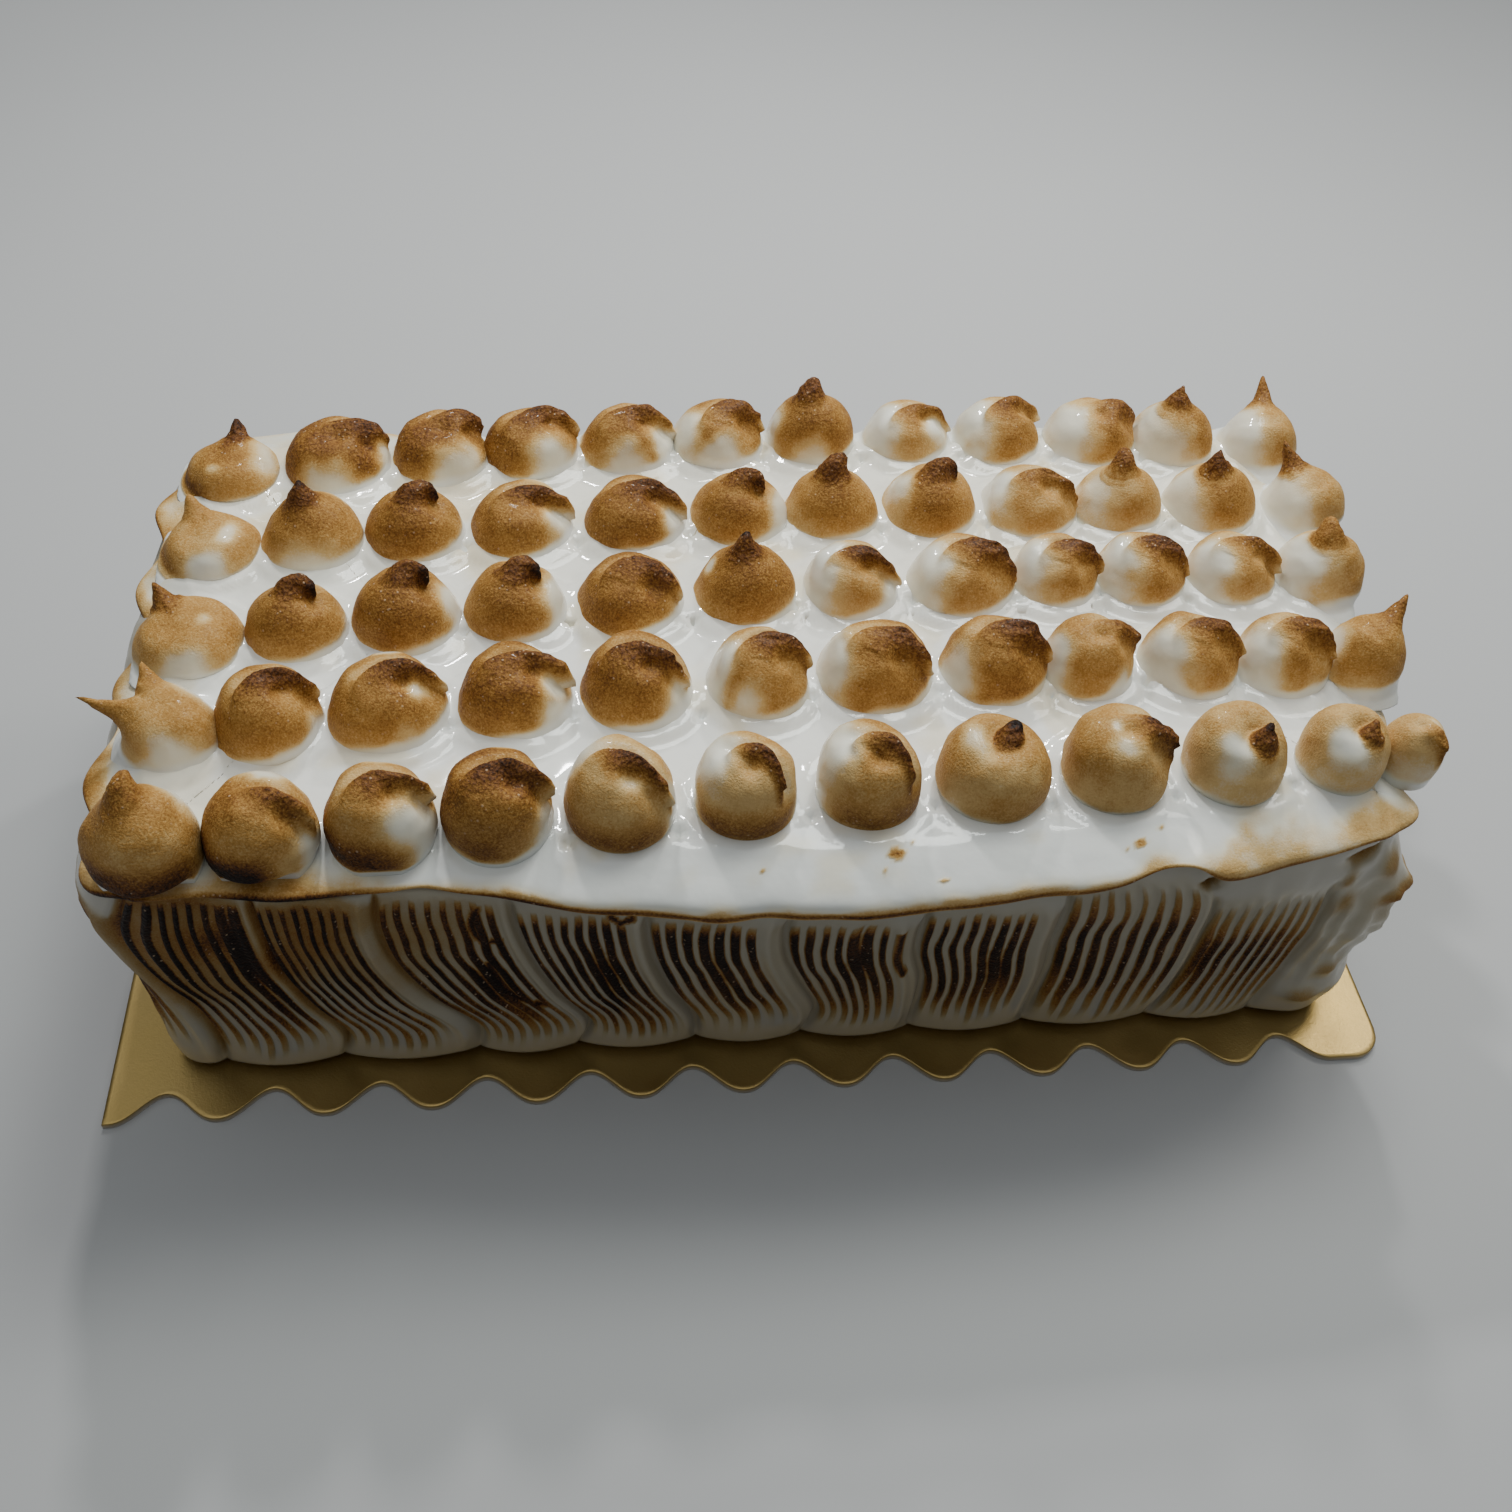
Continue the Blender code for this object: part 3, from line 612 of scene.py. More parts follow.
def side_surface():
    """The combed sides as rings from the foot to under the slab's lip, all the way round.

    The columns follow the comb's strokes: a column keeps its share across its stroke at every
    height, so it slides along the side as the stroke leans.
    """
    x, y, nx, ny, s = box_path(SIDE_LEFT, SIDE_RIGHT, SIDE_FRONT, SIDE_BACK, SIDE_CORNER,
                               (1, 1, 1, 1), CORNER_STEPS)
    total = s[-1] + math.dist((x[-1], y[-1]), (x[0], y[0]))
    edges, looks = stroke_table(total)
    steps = [FRONT_COLUMNS] * len(STROKES) + [CORNER_COLUMNS] + [REST_COLUMNS] * REST_STROKES
    number = np.concatenate([k + np.arange(step) / step for k, step in enumerate(steps)])

    def at(way):
        """The path's place and outward direction at this way round."""
        found = [np.interp(way, s, line, period=total) for line in (x, y, nx, ny)]
        size = np.hypot(found[2], found[3])
        return found[0], found[1], found[2] / size, found[3] / size

    lip_way = stroke_way(edges, number, np.full(len(number), 78.0))
    lip_x, _y, _nx, lip_ny = at(lip_way)
    top = SLAB_TOP - lip_drop(lip_x, lip_ny, lip_way) + BEHIND_LIP
    rise = np.linspace(0, 1, SIDE_RINGS)[:, None]
    z = FOOT + (top - FOOT) * rise
    number = np.broadcast_to(number, z.shape)
    px, py, pnx, pny = at(stroke_way(edges, number, z))
    front, back = np.maximum(-pny, 0) ** 2, np.maximum(pny, 0) ** 2
    left, right = np.maximum(-pnx, 0) ** 2, np.maximum(pnx, 0) ** 2
    places = np.stack([px, py, z], -1)
    relief, paint = comb_marks(number, looks, places, front)
    swell = front * 0.75 * along(px, RIM_SWELL) + back * 2.0
    out = (left * along(z, LEFT_OUT) + right * along(z, RIGHT_OUT) * (1 - 0.3 * smooth(-60, 60, py))
           + (front + back) * along(z, LONG_OUT) + swell * smooth(5, 75, z) + relief)
    corner = right * bell((py - SIDE_FRONT) / 40.0, 1.0) + front * bell((px - 152) / 16.0, 1.0)
    lump = layered(places, 13.0, 41)
    crumpled = layered(places * (1.0, 1.0, 0.6), 5.0, 43)
    out = out + corner * (2.2 * lump + 0.45 * crumpled) * smooth(4, 16, z)
    out = out + right * 1.2 * layered(places, 18.0, 42)
    blobs, hollows = 0.0, 0.0
    for blob_x, blob_z, half_x, half_z, brown in CORNER_BLOBS:
        blob = bell(np.hypot((px - blob_x) / half_x, (z - blob_z) / half_z) + 0.25 * crumpled, 1.0)
        blobs = blobs + brown * blob * smooth(-45, -60, py)
    # For a hollow the last column is painted darkness: painted shade in the recess under the lip.
    for hole_x, hole_z, half_x, half_z, brown in SHADED_LIP_HOLLOWS:
        gap = np.hypot((px - hole_x) / half_x, (z - hole_z) / half_z)
        hollows = hollows + brown * front * bell(gap, 1.0)
    out = out + 5.0 * blobs - 7.0 * hollows
    hooks = [chain_distance(np.stack([px, z, 0 * z], -1).reshape(-1, 3), curve_through(
        [(hook_x, hook_z, 0.0, 0.75) for hook_x, hook_z in hook], 9))[0] for hook in COMB_HOOKS]
    hooked = 0.9 * front * (1 - smooth(-0.3, 0.7, np.min(hooks, axis=0).reshape(z.shape)))
    # The hollows add painted shade to the toast, as well as pressing the surface in.
    toast = paint["toast"] + blobs + hollows
    paint["toast"] = np.clip(np.maximum(toast, hooked), 0, 1)
    paint["rib_dark"] = paint["rib_dark"] * (1 - 0.85 * corner)
    curve = smooth(0.0, 1.0, (rise - 0.955) / 0.045)
    out = out - 3.0 * curve * curve - 1.6 * (1 - smooth(0.0, 0.035, rise))
    inner_x, inner_y = px - TURNED_IN * pnx, py - TURNED_IN * pny
    inner = np.stack([inner_x[-1], inner_y[-1], z[-1] - 0.6], -1)[None]
    under = np.stack([inner_x[0], inner_y[0], z[0]], -1)[None]
    points = np.concatenate([under, np.stack([px + pnx * out, py + pny * out, z], -1), inner])
    points[..., 0] = skewed(points[..., 0], points[..., 1])
    paint = {key: np.concatenate([value[:1], value, value[-1:]]) for key, value in paint.items()}
    return points, paint


# ---------------------------------------------------------------- card

CARD_HALF, CARD_FRONT, CARD_THICK, CARD_CORNER = 162.5, -85.0, 2.0, 8.0
SCALLOP_FIRST, SCALLOP_PITCH, SCALLOP_DEPTH, VALLEYS = -148.5, 25.8, 7.5, 12
LONG_STEPS, END_STEPS = 640, 58
# Its rings: how far in from the edge, height, and whether the foil covers them.
CARD_RINGS = ((13.0, 0.0, 0), (1.0, 0.0, 0), (0.15, 0.0, 0), (0.0, 0.15, 0), (0.0, 1.85, 1),
              (0.15, CARD_THICK, 1), (1.0, CARD_THICK, 1), (13.0, CARD_THICK, 1))


def scallop(x):
    """The front edge's y along x: round lobes with valleys at even steps, plain past the last."""
    last = SCALLOP_FIRST + (VALLEYS - 1) * SCALLOP_PITCH
    turn = TURN * (np.clip(x, SCALLOP_FIRST - SCALLOP_PITCH / 2, last + SCALLOP_PITCH / 2) - SCALLOP_FIRST)
    wave = (1 + np.cos(turn / SCALLOP_PITCH)) / 2
    return CARD_FRONT + SCALLOP_DEPTH * wave ** 1.15


def card_surface():
    """The card as rings: underside, rounded cut edge and top, with scalloped long edges.

    The rings by the edge are its outline drawn in; the inmost rings are the outline cut off
    to a plain box, so that they close without crossing.
    """
    along_x = np.linspace(-CARD_HALF, CARD_HALF, LONG_STEPS)
    turned = np.clip((along_x - CARD_HALF + CARD_CORNER) / CARD_CORNER, 0, 1)
    edge_y = scallop(along_x) + CARD_CORNER * (1 - np.sqrt(1 - turned ** 2))
    up = np.linspace(0, 1, END_STEPS + 2)[1:-1]
    right_y = edge_y[-1] + (-edge_y[0] - edge_y[-1]) * up
    end_x = np.full(END_STEPS, CARD_HALF)
    x = np.concatenate([along_x, end_x, -along_x, -end_x])
    y = np.concatenate([edge_y, right_y, -edge_y, -right_y])
    rings = []
    for inset, z, _foiled in CARD_RINGS:
        if inset > SCALLOP_DEPTH:
            ring_x = np.clip(x, -CARD_HALF + inset, CARD_HALF - inset)
            ring_y = np.clip(y, CARD_FRONT + inset, -CARD_FRONT - inset)
        else:
            ring_x = x * (1 - inset / CARD_HALF)
            ring_y = y * (1 - inset / -CARD_FRONT)
        rings.append(np.stack([ring_x, ring_y, np.full(len(x), z)], -1))
    foil = np.repeat([[float(foiled)] for *_, foiled in CARD_RINGS], len(x), 1)
    return np.stack(rings), {"foil": foil}


def make_body(spread, combed, gold):
    """The slab, the combed sides and the card, each standing for its solid."""
    for name, surface, finish, node, slot in (
            ("spread_top", slab_surface(), spread, "top_slab", "spread_meringue"),
            ("combed_sides", side_surface(), combed, "combed_loaf", "combed_meringue"),
            ("scalloped_card", card_surface(), gold, "cake_card", "gold_card")):
        piece = mesh_piece(name, [surface], finish)
        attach(piece, "root")
        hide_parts(node)


# ---------------------------------------------------------------- kisses

# Columns round a kiss, and rings from its skirt to its middle.
KISS_ROUND, KISS_RINGS = 72, 54
# How high in a bun its heart lies, and how often and how far a ray steps towards the surface.
HEART_SHARE, RAY_STEPS, RAY_STRIDE = 0.42, 26, 0.85

# A kiss is a bun and a tip, and most have a crest. The crest is a leaf over the bun: its line goes through
# places ahead and aside, with its height and the width of its front slope there. The tip is
# piped along stations ahead, aside and above the bun's top, with its half thickness there; soft
# is how widely bun and tip run together at the edge and at the root, in mm; dips are hollows in
# the bun: place ahead and aside, width and depth. All but soft are in shares of the radius.
KINDS = {
    "comma": dict(soft=(0.5, 2.0), crest=(
        (-0.56, -0.62, 0.00, 0.24), (-0.56, -0.32, 0.04, 0.28), (-0.34, -0.06, 0.11, 0.34),
        (0.02, 0.08, 0.18, 0.36), (0.40, 0.04, 0.19, 0.22), (0.72, -0.05, 0.15, 0.11),
        (0.98, -0.11, 0.04, 0.06)), tip=(
        (0.62, -0.01, -0.12, 0.10), (0.82, -0.07, -0.24, 0.085), (0.96, -0.12, -0.42, 0.065),
        (1.05, -0.16, -0.58, 0.045)),
        dips=((0.36, -0.30, 0.24, 0.17), (0.78, -0.34, 0.17, 0.12))),
    "flop": dict(soft=(0.6, 2.0), crest=(
        (-0.66, -0.48, 0.00, 0.28), (-0.58, -0.16, 0.04, 0.34), (-0.28, 0.06, 0.10, 0.40),
        (0.10, 0.14, 0.16, 0.38), (0.48, 0.12, 0.18, 0.24), (0.82, 0.03, 0.14, 0.14),
        (1.04, -0.06, 0.05, 0.08)), tip=(
        (0.64, 0.06, -0.12, 0.13), (0.86, 0.00, -0.22, 0.11), (1.00, -0.07, -0.40, 0.085),
        (1.08, -0.13, -0.58, 0.06)),
        dips=((0.46, -0.24, 0.26, 0.16), (0.84, -0.28, 0.2, 0.12))),
    "swirl": dict(soft=(0.5, 2.0), crest=(
        (-0.10, -0.48, 0.02, 0.20), (-0.28, -0.24, 0.07, 0.24), (-0.14, -0.02, 0.14, 0.28),
        (0.16, 0.08, 0.19, 0.26), (0.46, 0.00, 0.18, 0.20), (0.70, -0.16, 0.12, 0.12),
        (0.84, -0.34, 0.03, 0.08)), tip=(
        (0.44, -0.04, -0.13, 0.13), (0.66, -0.14, -0.16, 0.10), (0.86, -0.28, -0.36, 0.05)),
        dips=((0.24, -0.36, 0.20, 0.14), (-0.54, -0.02, 0.22, 0.10), (0.1, 0.46, 0.2, 0.07))),
    "lobe": dict(soft=(0.7, 2.5), crest=(
        (-0.50, -0.54, 0.00, 0.30), (-0.44, -0.22, 0.08, 0.38), (-0.16, 0.04, 0.17, 0.42),
        (0.20, 0.12, 0.23, 0.38), (0.54, 0.04, 0.22, 0.26), (0.82, -0.10, 0.14, 0.14),
        (0.96, -0.20, 0.05, 0.09)), tip=(
        (0.46, 0.00, -0.14, 0.20), (0.72, -0.06, -0.14, 0.15), (0.92, -0.15, -0.32, 0.10),
        (1.02, -0.22, -0.48, 0.06)),
        dips=((0.54, -0.44, 0.22, 0.15),)),
    "ball": dict(soft=(0.7, 2.5), crest=(
        (-0.50, -0.10, 0.00, 0.30), (-0.14, 0.06, 0.05, 0.40), (0.26, 0.08, 0.10, 0.36),
        (0.64, 0.00, 0.13, 0.22), (0.94, -0.08, 0.11, 0.13), (1.14, -0.14, 0.05, 0.07)), tip=(
        (0.62, -0.02, -0.18, 0.14), (0.88, -0.07, -0.26, 0.11), (1.02, -0.12, -0.44, 0.07),
        (1.10, -0.15, -0.60, 0.04)),
        dips=((0.66, -0.34, 0.18, 0.14), (0.92, -0.32, 0.14, 0.10))),
    "hook": dict(soft=(1.4, 4.0), tip=(
        (-0.14, -0.22, -0.62, 0.60), (-0.10, -0.12, -0.34, 0.50), (-0.02, 0.00, -0.06, 0.38),
        (0.12, 0.08, 0.16, 0.27), (0.30, 0.08, 0.24, 0.18), (0.44, 0.01, 0.16, 0.12),
        (0.50, -0.06, 0.02, 0.07)),
        dips=((0.46, -0.22, 0.22, 0.14),)),
    "beak": dict(soft=(0.8, 3.0), crest=(
        (-0.40, 0.10, 0.00, 0.40), (0.00, 0.16, 0.08, 0.46), (0.38, 0.12, 0.17, 0.42),
        (0.70, 0.04, 0.21, 0.28), (0.92, -0.02, 0.14, 0.16), (1.03, -0.06, 0.05, 0.09)), tip=(
        (0.40, 0.04, -0.26, 0.28), (0.68, 0.02, -0.22, 0.21), (0.88, -0.02, -0.27, 0.15),
        (0.97, -0.04, -0.36, 0.09)),
        dips=((0.62, -0.42, 0.22, 0.13), (0.05, -0.20, 0.16, 0.08))),
    "nub": dict(soft=(1.0, 2.4), tip=(
        (0.00, -0.10, -0.80, 0.42), (0.08, -0.07, -0.48, 0.35), (0.18, -0.03, -0.24, 0.26),
        (0.28, 0.01, -0.08, 0.17), (0.38, 0.03, 0.00, 0.08)),
        dips=((0.04, -0.04, 0.44, 0.40), (-0.34, -0.28, 0.2, 0.06))),
    "button": dict(soft=(1.0, 2.4), tip=(
        (0.02, -0.40, -0.80, 0.40), (0.03, -0.42, -0.50, 0.33), (0.08, -0.41, -0.26, 0.24),
        (0.15, -0.38, -0.10, 0.16), (0.23, -0.33, 0.00, 0.09)),
        dips=((0.00, -0.42, 0.44, 0.36),)),
    "spike": dict(soft=(2.5, 5.0), tip=(
        (0.00, -0.10, -0.55, 0.70), (0.00, 0.00, -0.22, 0.54), (0.02, 0.05, 0.08, 0.36),
        (0.05, 0.08, 0.36, 0.20), (0.12, 0.09, 0.56, 0.09), (0.20, 0.08, 0.64, 0.03))),
    "curl": dict(soft=(2.5, 5.0), tip=(
        (0.00, -0.10, -0.55, 0.70), (0.00, 0.00, -0.20, 0.52), (0.04, 0.05, 0.12, 0.36),
        (0.14, 0.06, 0.36, 0.24), (0.30, 0.05, 0.44, 0.15), (0.42, 0.03, 0.38, 0.07))),
    "horn": dict(soft=(3.5, 5.0), tip=(
        (0.00, 0.00, -0.50, 0.66), (0.34, 0.00, -0.24, 0.46), (0.66, 0.02, 0.04, 0.28),
        (0.92, 0.05, 0.30, 0.15), (1.10, 0.09, 0.56, 0.06))),
    "saddle": dict(soft=(3.0, 6.0), tip=(
        (-0.30, 0.00, -0.60, 0.60), (0.20, 0.00, -0.42, 0.46), (0.55, 0.02, -0.18, 0.30),
        (0.76, 0.05, 0.08, 0.17), (0.86, 0.07, 0.26, 0.06)),
        dips=((-0.30, 0.10, 0.40, 0.14),)),
    "twin": dict(soft=(3.5, 5.0), tip=(
        (0.00, 0.00, -0.60, 0.60), (0.50, 0.00, -0.44, 0.42), (1.00, 0.02, -0.26, 0.25),
        (1.46, 0.04, -0.12, 0.12), (1.80, 0.06, 0.04, 0.04)), second=(
        (0.05, -0.10, -0.55, 0.54), (0.38, -0.44, -0.26, 0.34), (0.60, -0.72, 0.06, 0.18),
        (0.74, -0.90, 0.30, 0.05))),
}

# Rows front to back: where the left kiss stands, how the row climbs and bows towards the back,
# how tall and how undercut its buns are, how high the slab swells round them, and the gaps
# between them. Each kiss is its kind, the way its tip leans, radius, height in shares of the
# row's, brown, darkness of the tip, its white spots as way round, place and width in shares of
# the radius, and how charred it is towards which way. Ways are in degrees, anticlockwise from +X.
ROWS = (
    dict(x=-134.5, y=-70, rise=29, sag=14, tall=17.6, under=1.0, mound=1.4,
         gaps=(23, 24.5, 24.5, 26.5, 27.5, 27.5, 28.5, 28.5, 28.5, 26, 17), kisses=(
        ("curl", 92, 11.3, 1.0, .42, .54, ((50, 1.0, .36),), (.55, -95)),
        ("ball", -6, 11.3, 1.0, .46, .66, ((78, .74, .34), (-22, 1.05, .2)), (.80, -140)),
        ("comma", 10, 11.4, 1.0, .42, .72, ((-38, .98, .46), (92, .80, .20)), (.58, -120)),
        ("comma", 4, 11.8, 1.0, .58, .80, ((-18, 1.05, .26), (215, .22, .10), (80, .85, .2)), (.22, -140)),
        ("comma", -24, 11.9, 1.0, .34, .80, ((140, .95, .38), (-80, .42, .24), (-18, 1.05, .2)),
         (.38, -110)),
        ("swirl", -30, 11.4, 1.0, .33, .76, ((165, .66, .40), (100, .16, .10)), (.38, -95)),
        ("swirl", -26, 11.6, 1.0, .42, .96, ((172, .72, .46),), (.30, -80)),
        ("nub", 22, 12.2, 1.0, .38, 1.0, ((195, .46, .26),), (.18, -60)),
        ("beak", -8, 11.7, 1.0, .38, .80, ((190, .22, .10), (-105, .50, .20)), (.06, -60)),
        ("button", 25, 11.4, .98, .31, .90, ((232, .62, .26),), (.06, -90)),
        ("button", 30, 9.7, .94, .29, .66, ((236, .62, .30),), (.04, -90)),
        ("beak", -60, 7.0, .8, .30, .55, (), (.0, 0)))),
    dict(x=-135, y=-36.25, rise=39.5, sag=27, tall=14.4, under=.15, mound=3.6,
         gaps=(20.5, 26.5, 28.5, 28, 29, 28.5, 29, 23.5, 25, 23.5, 20.5), kisses=(
        ("twin", 168, 10.2, .8, .36, .44, ((-80, 1.0, .35), (60, .95, .35)), (.0, 0)),
        ("comma", 22, 11.6, 1.0, .47, .80, ((85, .92, .26), (-10, 1.15, .2)), (.15, 180)),
        ("comma", 14, 12.7, 1.0, .47, .74, ((88, .70, .14), (-20, .62, .16), (-60, 1.2, .26)), (.10, 180)),
        ("flop", 2, 12.4, 1.0, .52, .70, ((-20, .80, .24), (-40, 1.1, .26)), (.10, 180)),
        ("comma", -12, 12.2, 1.0, .52, .86, ((70, .95, .22), (-26, 1.0, .28)), (.10, 200)),
        ("lobe", 4, 11.6, 1.0, .40, .84, ((185, .88, .34), (-110, 1.05, .2)), (.10, -60)),
        ("lobe", -18, 12.6, 1.0, .44, 1.0, ((186, .88, .42),), (.12, -80)),
        ("lobe", -6, 12.0, 1.0, .48, .98, ((205, .98, .32),), (.10, -60)),
        ("beak", 5, 10.9, 1.0, .40, .74, ((190, .95, .3), (-60, 1.1, .2)), (.0, 0)),
        ("lobe", -6, 11.4, 1.0, .42, .72, ((205, .92, .46),), (.0, 0)),
        ("lobe", -16, 10.8, 1.0, .40, .68, ((198, .92, .48),), (.0, 0)),
        ("horn", 32, 9.6, .95, .40, .56, ((170, 1.0, .34),), (.0, 0)))),
    dict(x=-136, y=-5.4, rise=40, sag=25.5, tall=12.4, under=.05, mound=4.0,
         gaps=(24.5, 25.5, 26.5, 28, 29, 27, 28.5, 24.5, 23, 24, 23.5), kisses=(
        ("saddle", 125, 12.0, .75, .36, .60, ((-10, .42, .12), (-85, 1.1, .30)), (.0, 0)),
        ("hook", 12, 11.2, 1.0, .42, .92, ((70, .9, .3),), (.10, 180)),
        ("hook", 14, 12.2, 1.05, .47, .90, ((0, .95, .25),), (.10, 200)),
        ("hook", 8, 11.6, .95, .42, .92, ((-10, 1.0, .42), (90, .9, .3)), (.10, 180)),
        ("lobe", -10, 12.5, 1.0, .52, .84, ((-10, 1.2, .35),), (.10, 180)),
        ("spike", 70, 12.2, 1.0, .44, .96, ((170, .75, .12),), (.0, 0)),
        ("comma", -8, 11.5, 1.0, .34, .92, ((180, .70, .50), (-30, 1.0, .25)), (.0, 0)),
        ("lobe", -8, 12.5, 1.0, .42, .92, ((190, .80, .52),), (.0, 0)),
        ("lobe", -2, 10.9, 1.0, .42, .86, ((190, .75, .50),), (.0, 0)),
        ("lobe", -12, 10.9, 1.0, .42, .82, ((195, .75, .48),), (.0, 0)),
        ("flop", -8, 11.0, 1.0, .38, .64, ((200, .80, .45),), (.0, 0)),
        ("curl", 85, 11.0, 1.0, .36, .52, ((185, .75, .60),), (.0, 0)))),
    dict(x=-135.5, y=28.4, rise=32, sag=22.5, tall=11.8, under=.05, mound=4.0,
         gaps=(24.5, 25.5, 27, 29.5, 27, 25, 27, 27, 24.5, 26, 27), kisses=(
        ("saddle", 115, 11.5, .7, .34, .42, ((-20, .50, .20), (-90, 1.05, .3)), (.25, 180)),
        ("spike", 90, 12.0, 1.0, .42, .90, ((60, .95, .3), (-90, 1.1, .4)), (.0, 0)),
        ("hook", 18, 11.8, 1.0, .46, .90, ((80, .95, .3),), (.12, 180)),
        ("flop", 5, 12.2, 1.0, .48, .74, ((-15, .85, .30), (70, .95, .3)), (.12, 200)),
        ("flop", -6, 12.3, 1.0, .52, .80, ((-20, .95, .30),), (.12, 180)),
        ("hook", -2, 12.0, .95, .42, .78, ((-15, 1.0, .3),), (.0, 0)),
        ("curl", 50, 11.8, 1.0, .38, .92, ((10, .25, .12),), (.0, 0)),
        ("hook", 22, 12.0, 1.0, .38, .90, ((180, .70, .30),), (.0, 0)),
        ("comma", -8, 12.0, 1.0, .36, .66, ((170, .85, .40), (10, .30, .20)), (.0, 0)),
        ("curl", 80, 11.4, 1.0, .34, .64, ((200, .60, .45), (-100, .45, .25)), (.0, 0)),
        ("spike", 85, 11.6, 1.0, .38, .78, ((185, .75, .60),), (.0, 0)),
        ("horn", 120, 10.6, .9, .34, .62, ((190, .70, .60),), (.0, 0)))),
    dict(x=-134, y=59.3, rise=40.5, sag=33.5, tall=11.8, under=.05, mound=4.0,
         gaps=(26.5, 27, 24.5, 26, 25.5, 25.5, 28, 26, 26.5, 23.5, 25.5), kisses=(
        ("saddle", 80, 11.5, .7, .40, .84, ((0, .65, .34), (-120, .6, .14)), (.40, 170)),
        ("beak", 20, 12.8, 1.0, .58, .80, ((0, 1.1, .3), (-90, 1.1, .4)), (.12, 170)),
        ("beak", 30, 12.4, 1.0, .56, .72, ((-60, 1.0, .4),), (.12, 160)),
        ("flop", 20, 12.0, 1.0, .52, .70, ((-60, 1.0, .4),), (.15, 180)),
        ("flop", 5, 12.2, 1.0, .48, .68, ((-20, .9, .35), (-90, 1.1, .4)), (.0, 0)),
        ("lobe", 10, 11.8, 1.0, .46, .70, ((190, .85, .45), (-90, 1.1, .4)), (.0, 0)),
        ("curl", 70, 11.6, 1.1, .46, .72, ((180, .95, .3), (-90, 1.1, .3)), (.0, 0)),
        ("comma", 10, 11.4, .9, .36, .64, ((185, .75, .50), (-30, .7, .3)), (.0, 0)),
        ("flop", 25, 11.6, 1.0, .42, .62, ((190, .75, .55),), (.0, 0)),
        ("beak", 10, 11.8, 1.0, .42, .66, ((190, .70, .65),), (.0, 0)),
        ("spike", 60, 11.2, 1.0, .40, .64, ((190, .75, .55), (-110, .9, .4)), (.0, 0)),
        ("horn", 80, 10.6, .9, .36, .58, ((195, .70, .6),), (.0, 0)))),
)


def smooth_least(one, other, soft):
    """The smaller of two distances, rounded off where they differ by less than soft."""
    near = np.maximum(soft - np.abs(one - other), 0.0) / np.maximum(soft, 1e-6)
    return np.minimum(one, other) - near * near * soft / 4


def chain_distance(points, chain):
    """Distance to a tapering chain of balls and the share of its length at the nearest place."""
    nodes, half = chain[:, :3], chain[:, 3]
    start, along = nodes[:-1], np.diff(nodes, axis=0)
    offset = points[:, None, :] - start
    share = np.clip((offset * along).sum(-1) / (along * along).sum(-1), 0.0, 1.0)
    gap = np.linalg.norm(offset - share[..., None] * along, axis=-1)
    gap = gap - (half[:-1] + share * np.diff(half))
    nearest = gap.argmin(-1)
    rows = np.arange(len(points))
    return gap[rows, nearest], (nearest + share[rows, nearest]) / len(along)


def crest_leaf(ahead, aside, crest):
    """The crest's leaf over the places of a bun: its height, how far along its line each place
    lies, how much of the leaf covers it, and how much of the ring just behind it.

    Behind its line the leaf drops at once into a shallow valley; in front it slopes off as a
    bell of the front width.
    """
    line = curve_through(crest, 20)
    start, step = line[:-1, :2], np.diff(line[:, :2], axis=0)
    offset = np.stack([ahead, aside], -1)[..., None, :] - start
    share = np.clip((offset * step).sum(-1) / (step * step).sum(-1), 0.0, 1.0)
    offset = offset - share[..., None] * step
    side = step[:, 0] * offset[..., 1] - step[:, 1] * offset[..., 0]
    gap = np.where(side > 0, 1.0, -1.0) * np.linalg.norm(offset, axis=-1)
    nearest = np.abs(gap).argmin(-1)[..., None]
    gap = np.take_along_axis(gap, nearest, -1)[..., 0]
    along = (nearest + np.take_along_axis(share, nearest, -1))[..., 0]
    high = np.interp(along, np.arange(len(line)), line[:, 2])
    wide = np.interp(along, np.arange(len(line)), line[:, 3])
    behind = gap > 0
    leaf = np.where(behind, 1.0, bell(gap, wide)) * (1 - smooth(0.0, 0.13, gap))
    ring = bell(gap - 0.24, 0.16) * behind * smooth(0.02, 0.12, high)
    valley = 0.50 * high * bell(gap - 0.17, 0.09) * behind
    return high * leaf - valley, along / (len(line) - 1), leaf, ring


def tip_distance(points, chains):
    """Distance to the nearest of a kiss's tips and the share of that tip's length there."""
    gap, share = chain_distance(points, chains[0])
    for chain in chains[1:]:
        other, other_share = chain_distance(points, chain)
        share = np.where(other < gap, other_share, share)
        gap = np.minimum(gap, other)
    return gap, share


def bun_section(radius, tall, under):
    """Radius and height of the bun from its skirt to its middle, in mm.

    The section mixes a ball with a tucked-in foot and a soft mound on a wide skirt.
    """
    ball = np.array(((0.96, -0.14), (0.98, -0.06), (0.99, 0.00), (1.01, 0.07), (1.03, 0.16),
                     (1.03, 0.30), (0.99, 0.48), (0.89, 0.69), (0.74, 0.85), (0.55, 0.95),
                     (0.32, 1.00), (0.02, 1.01)))
    mound = np.array(((1.42, -0.08), (1.29, 0.00), (1.19, 0.055), (1.11, 0.14), (1.05, 0.28),
                      (0.985, 0.46), (0.88, 0.66), (0.75, 0.82), (0.60, 0.93), (0.44, 0.99),
                      (0.28, 1.00), (0.02, 1.00)))
    stations = under * ball + (1 - under) * mound
    return curve_through(stations, KISS_RINGS) * (radius, tall)


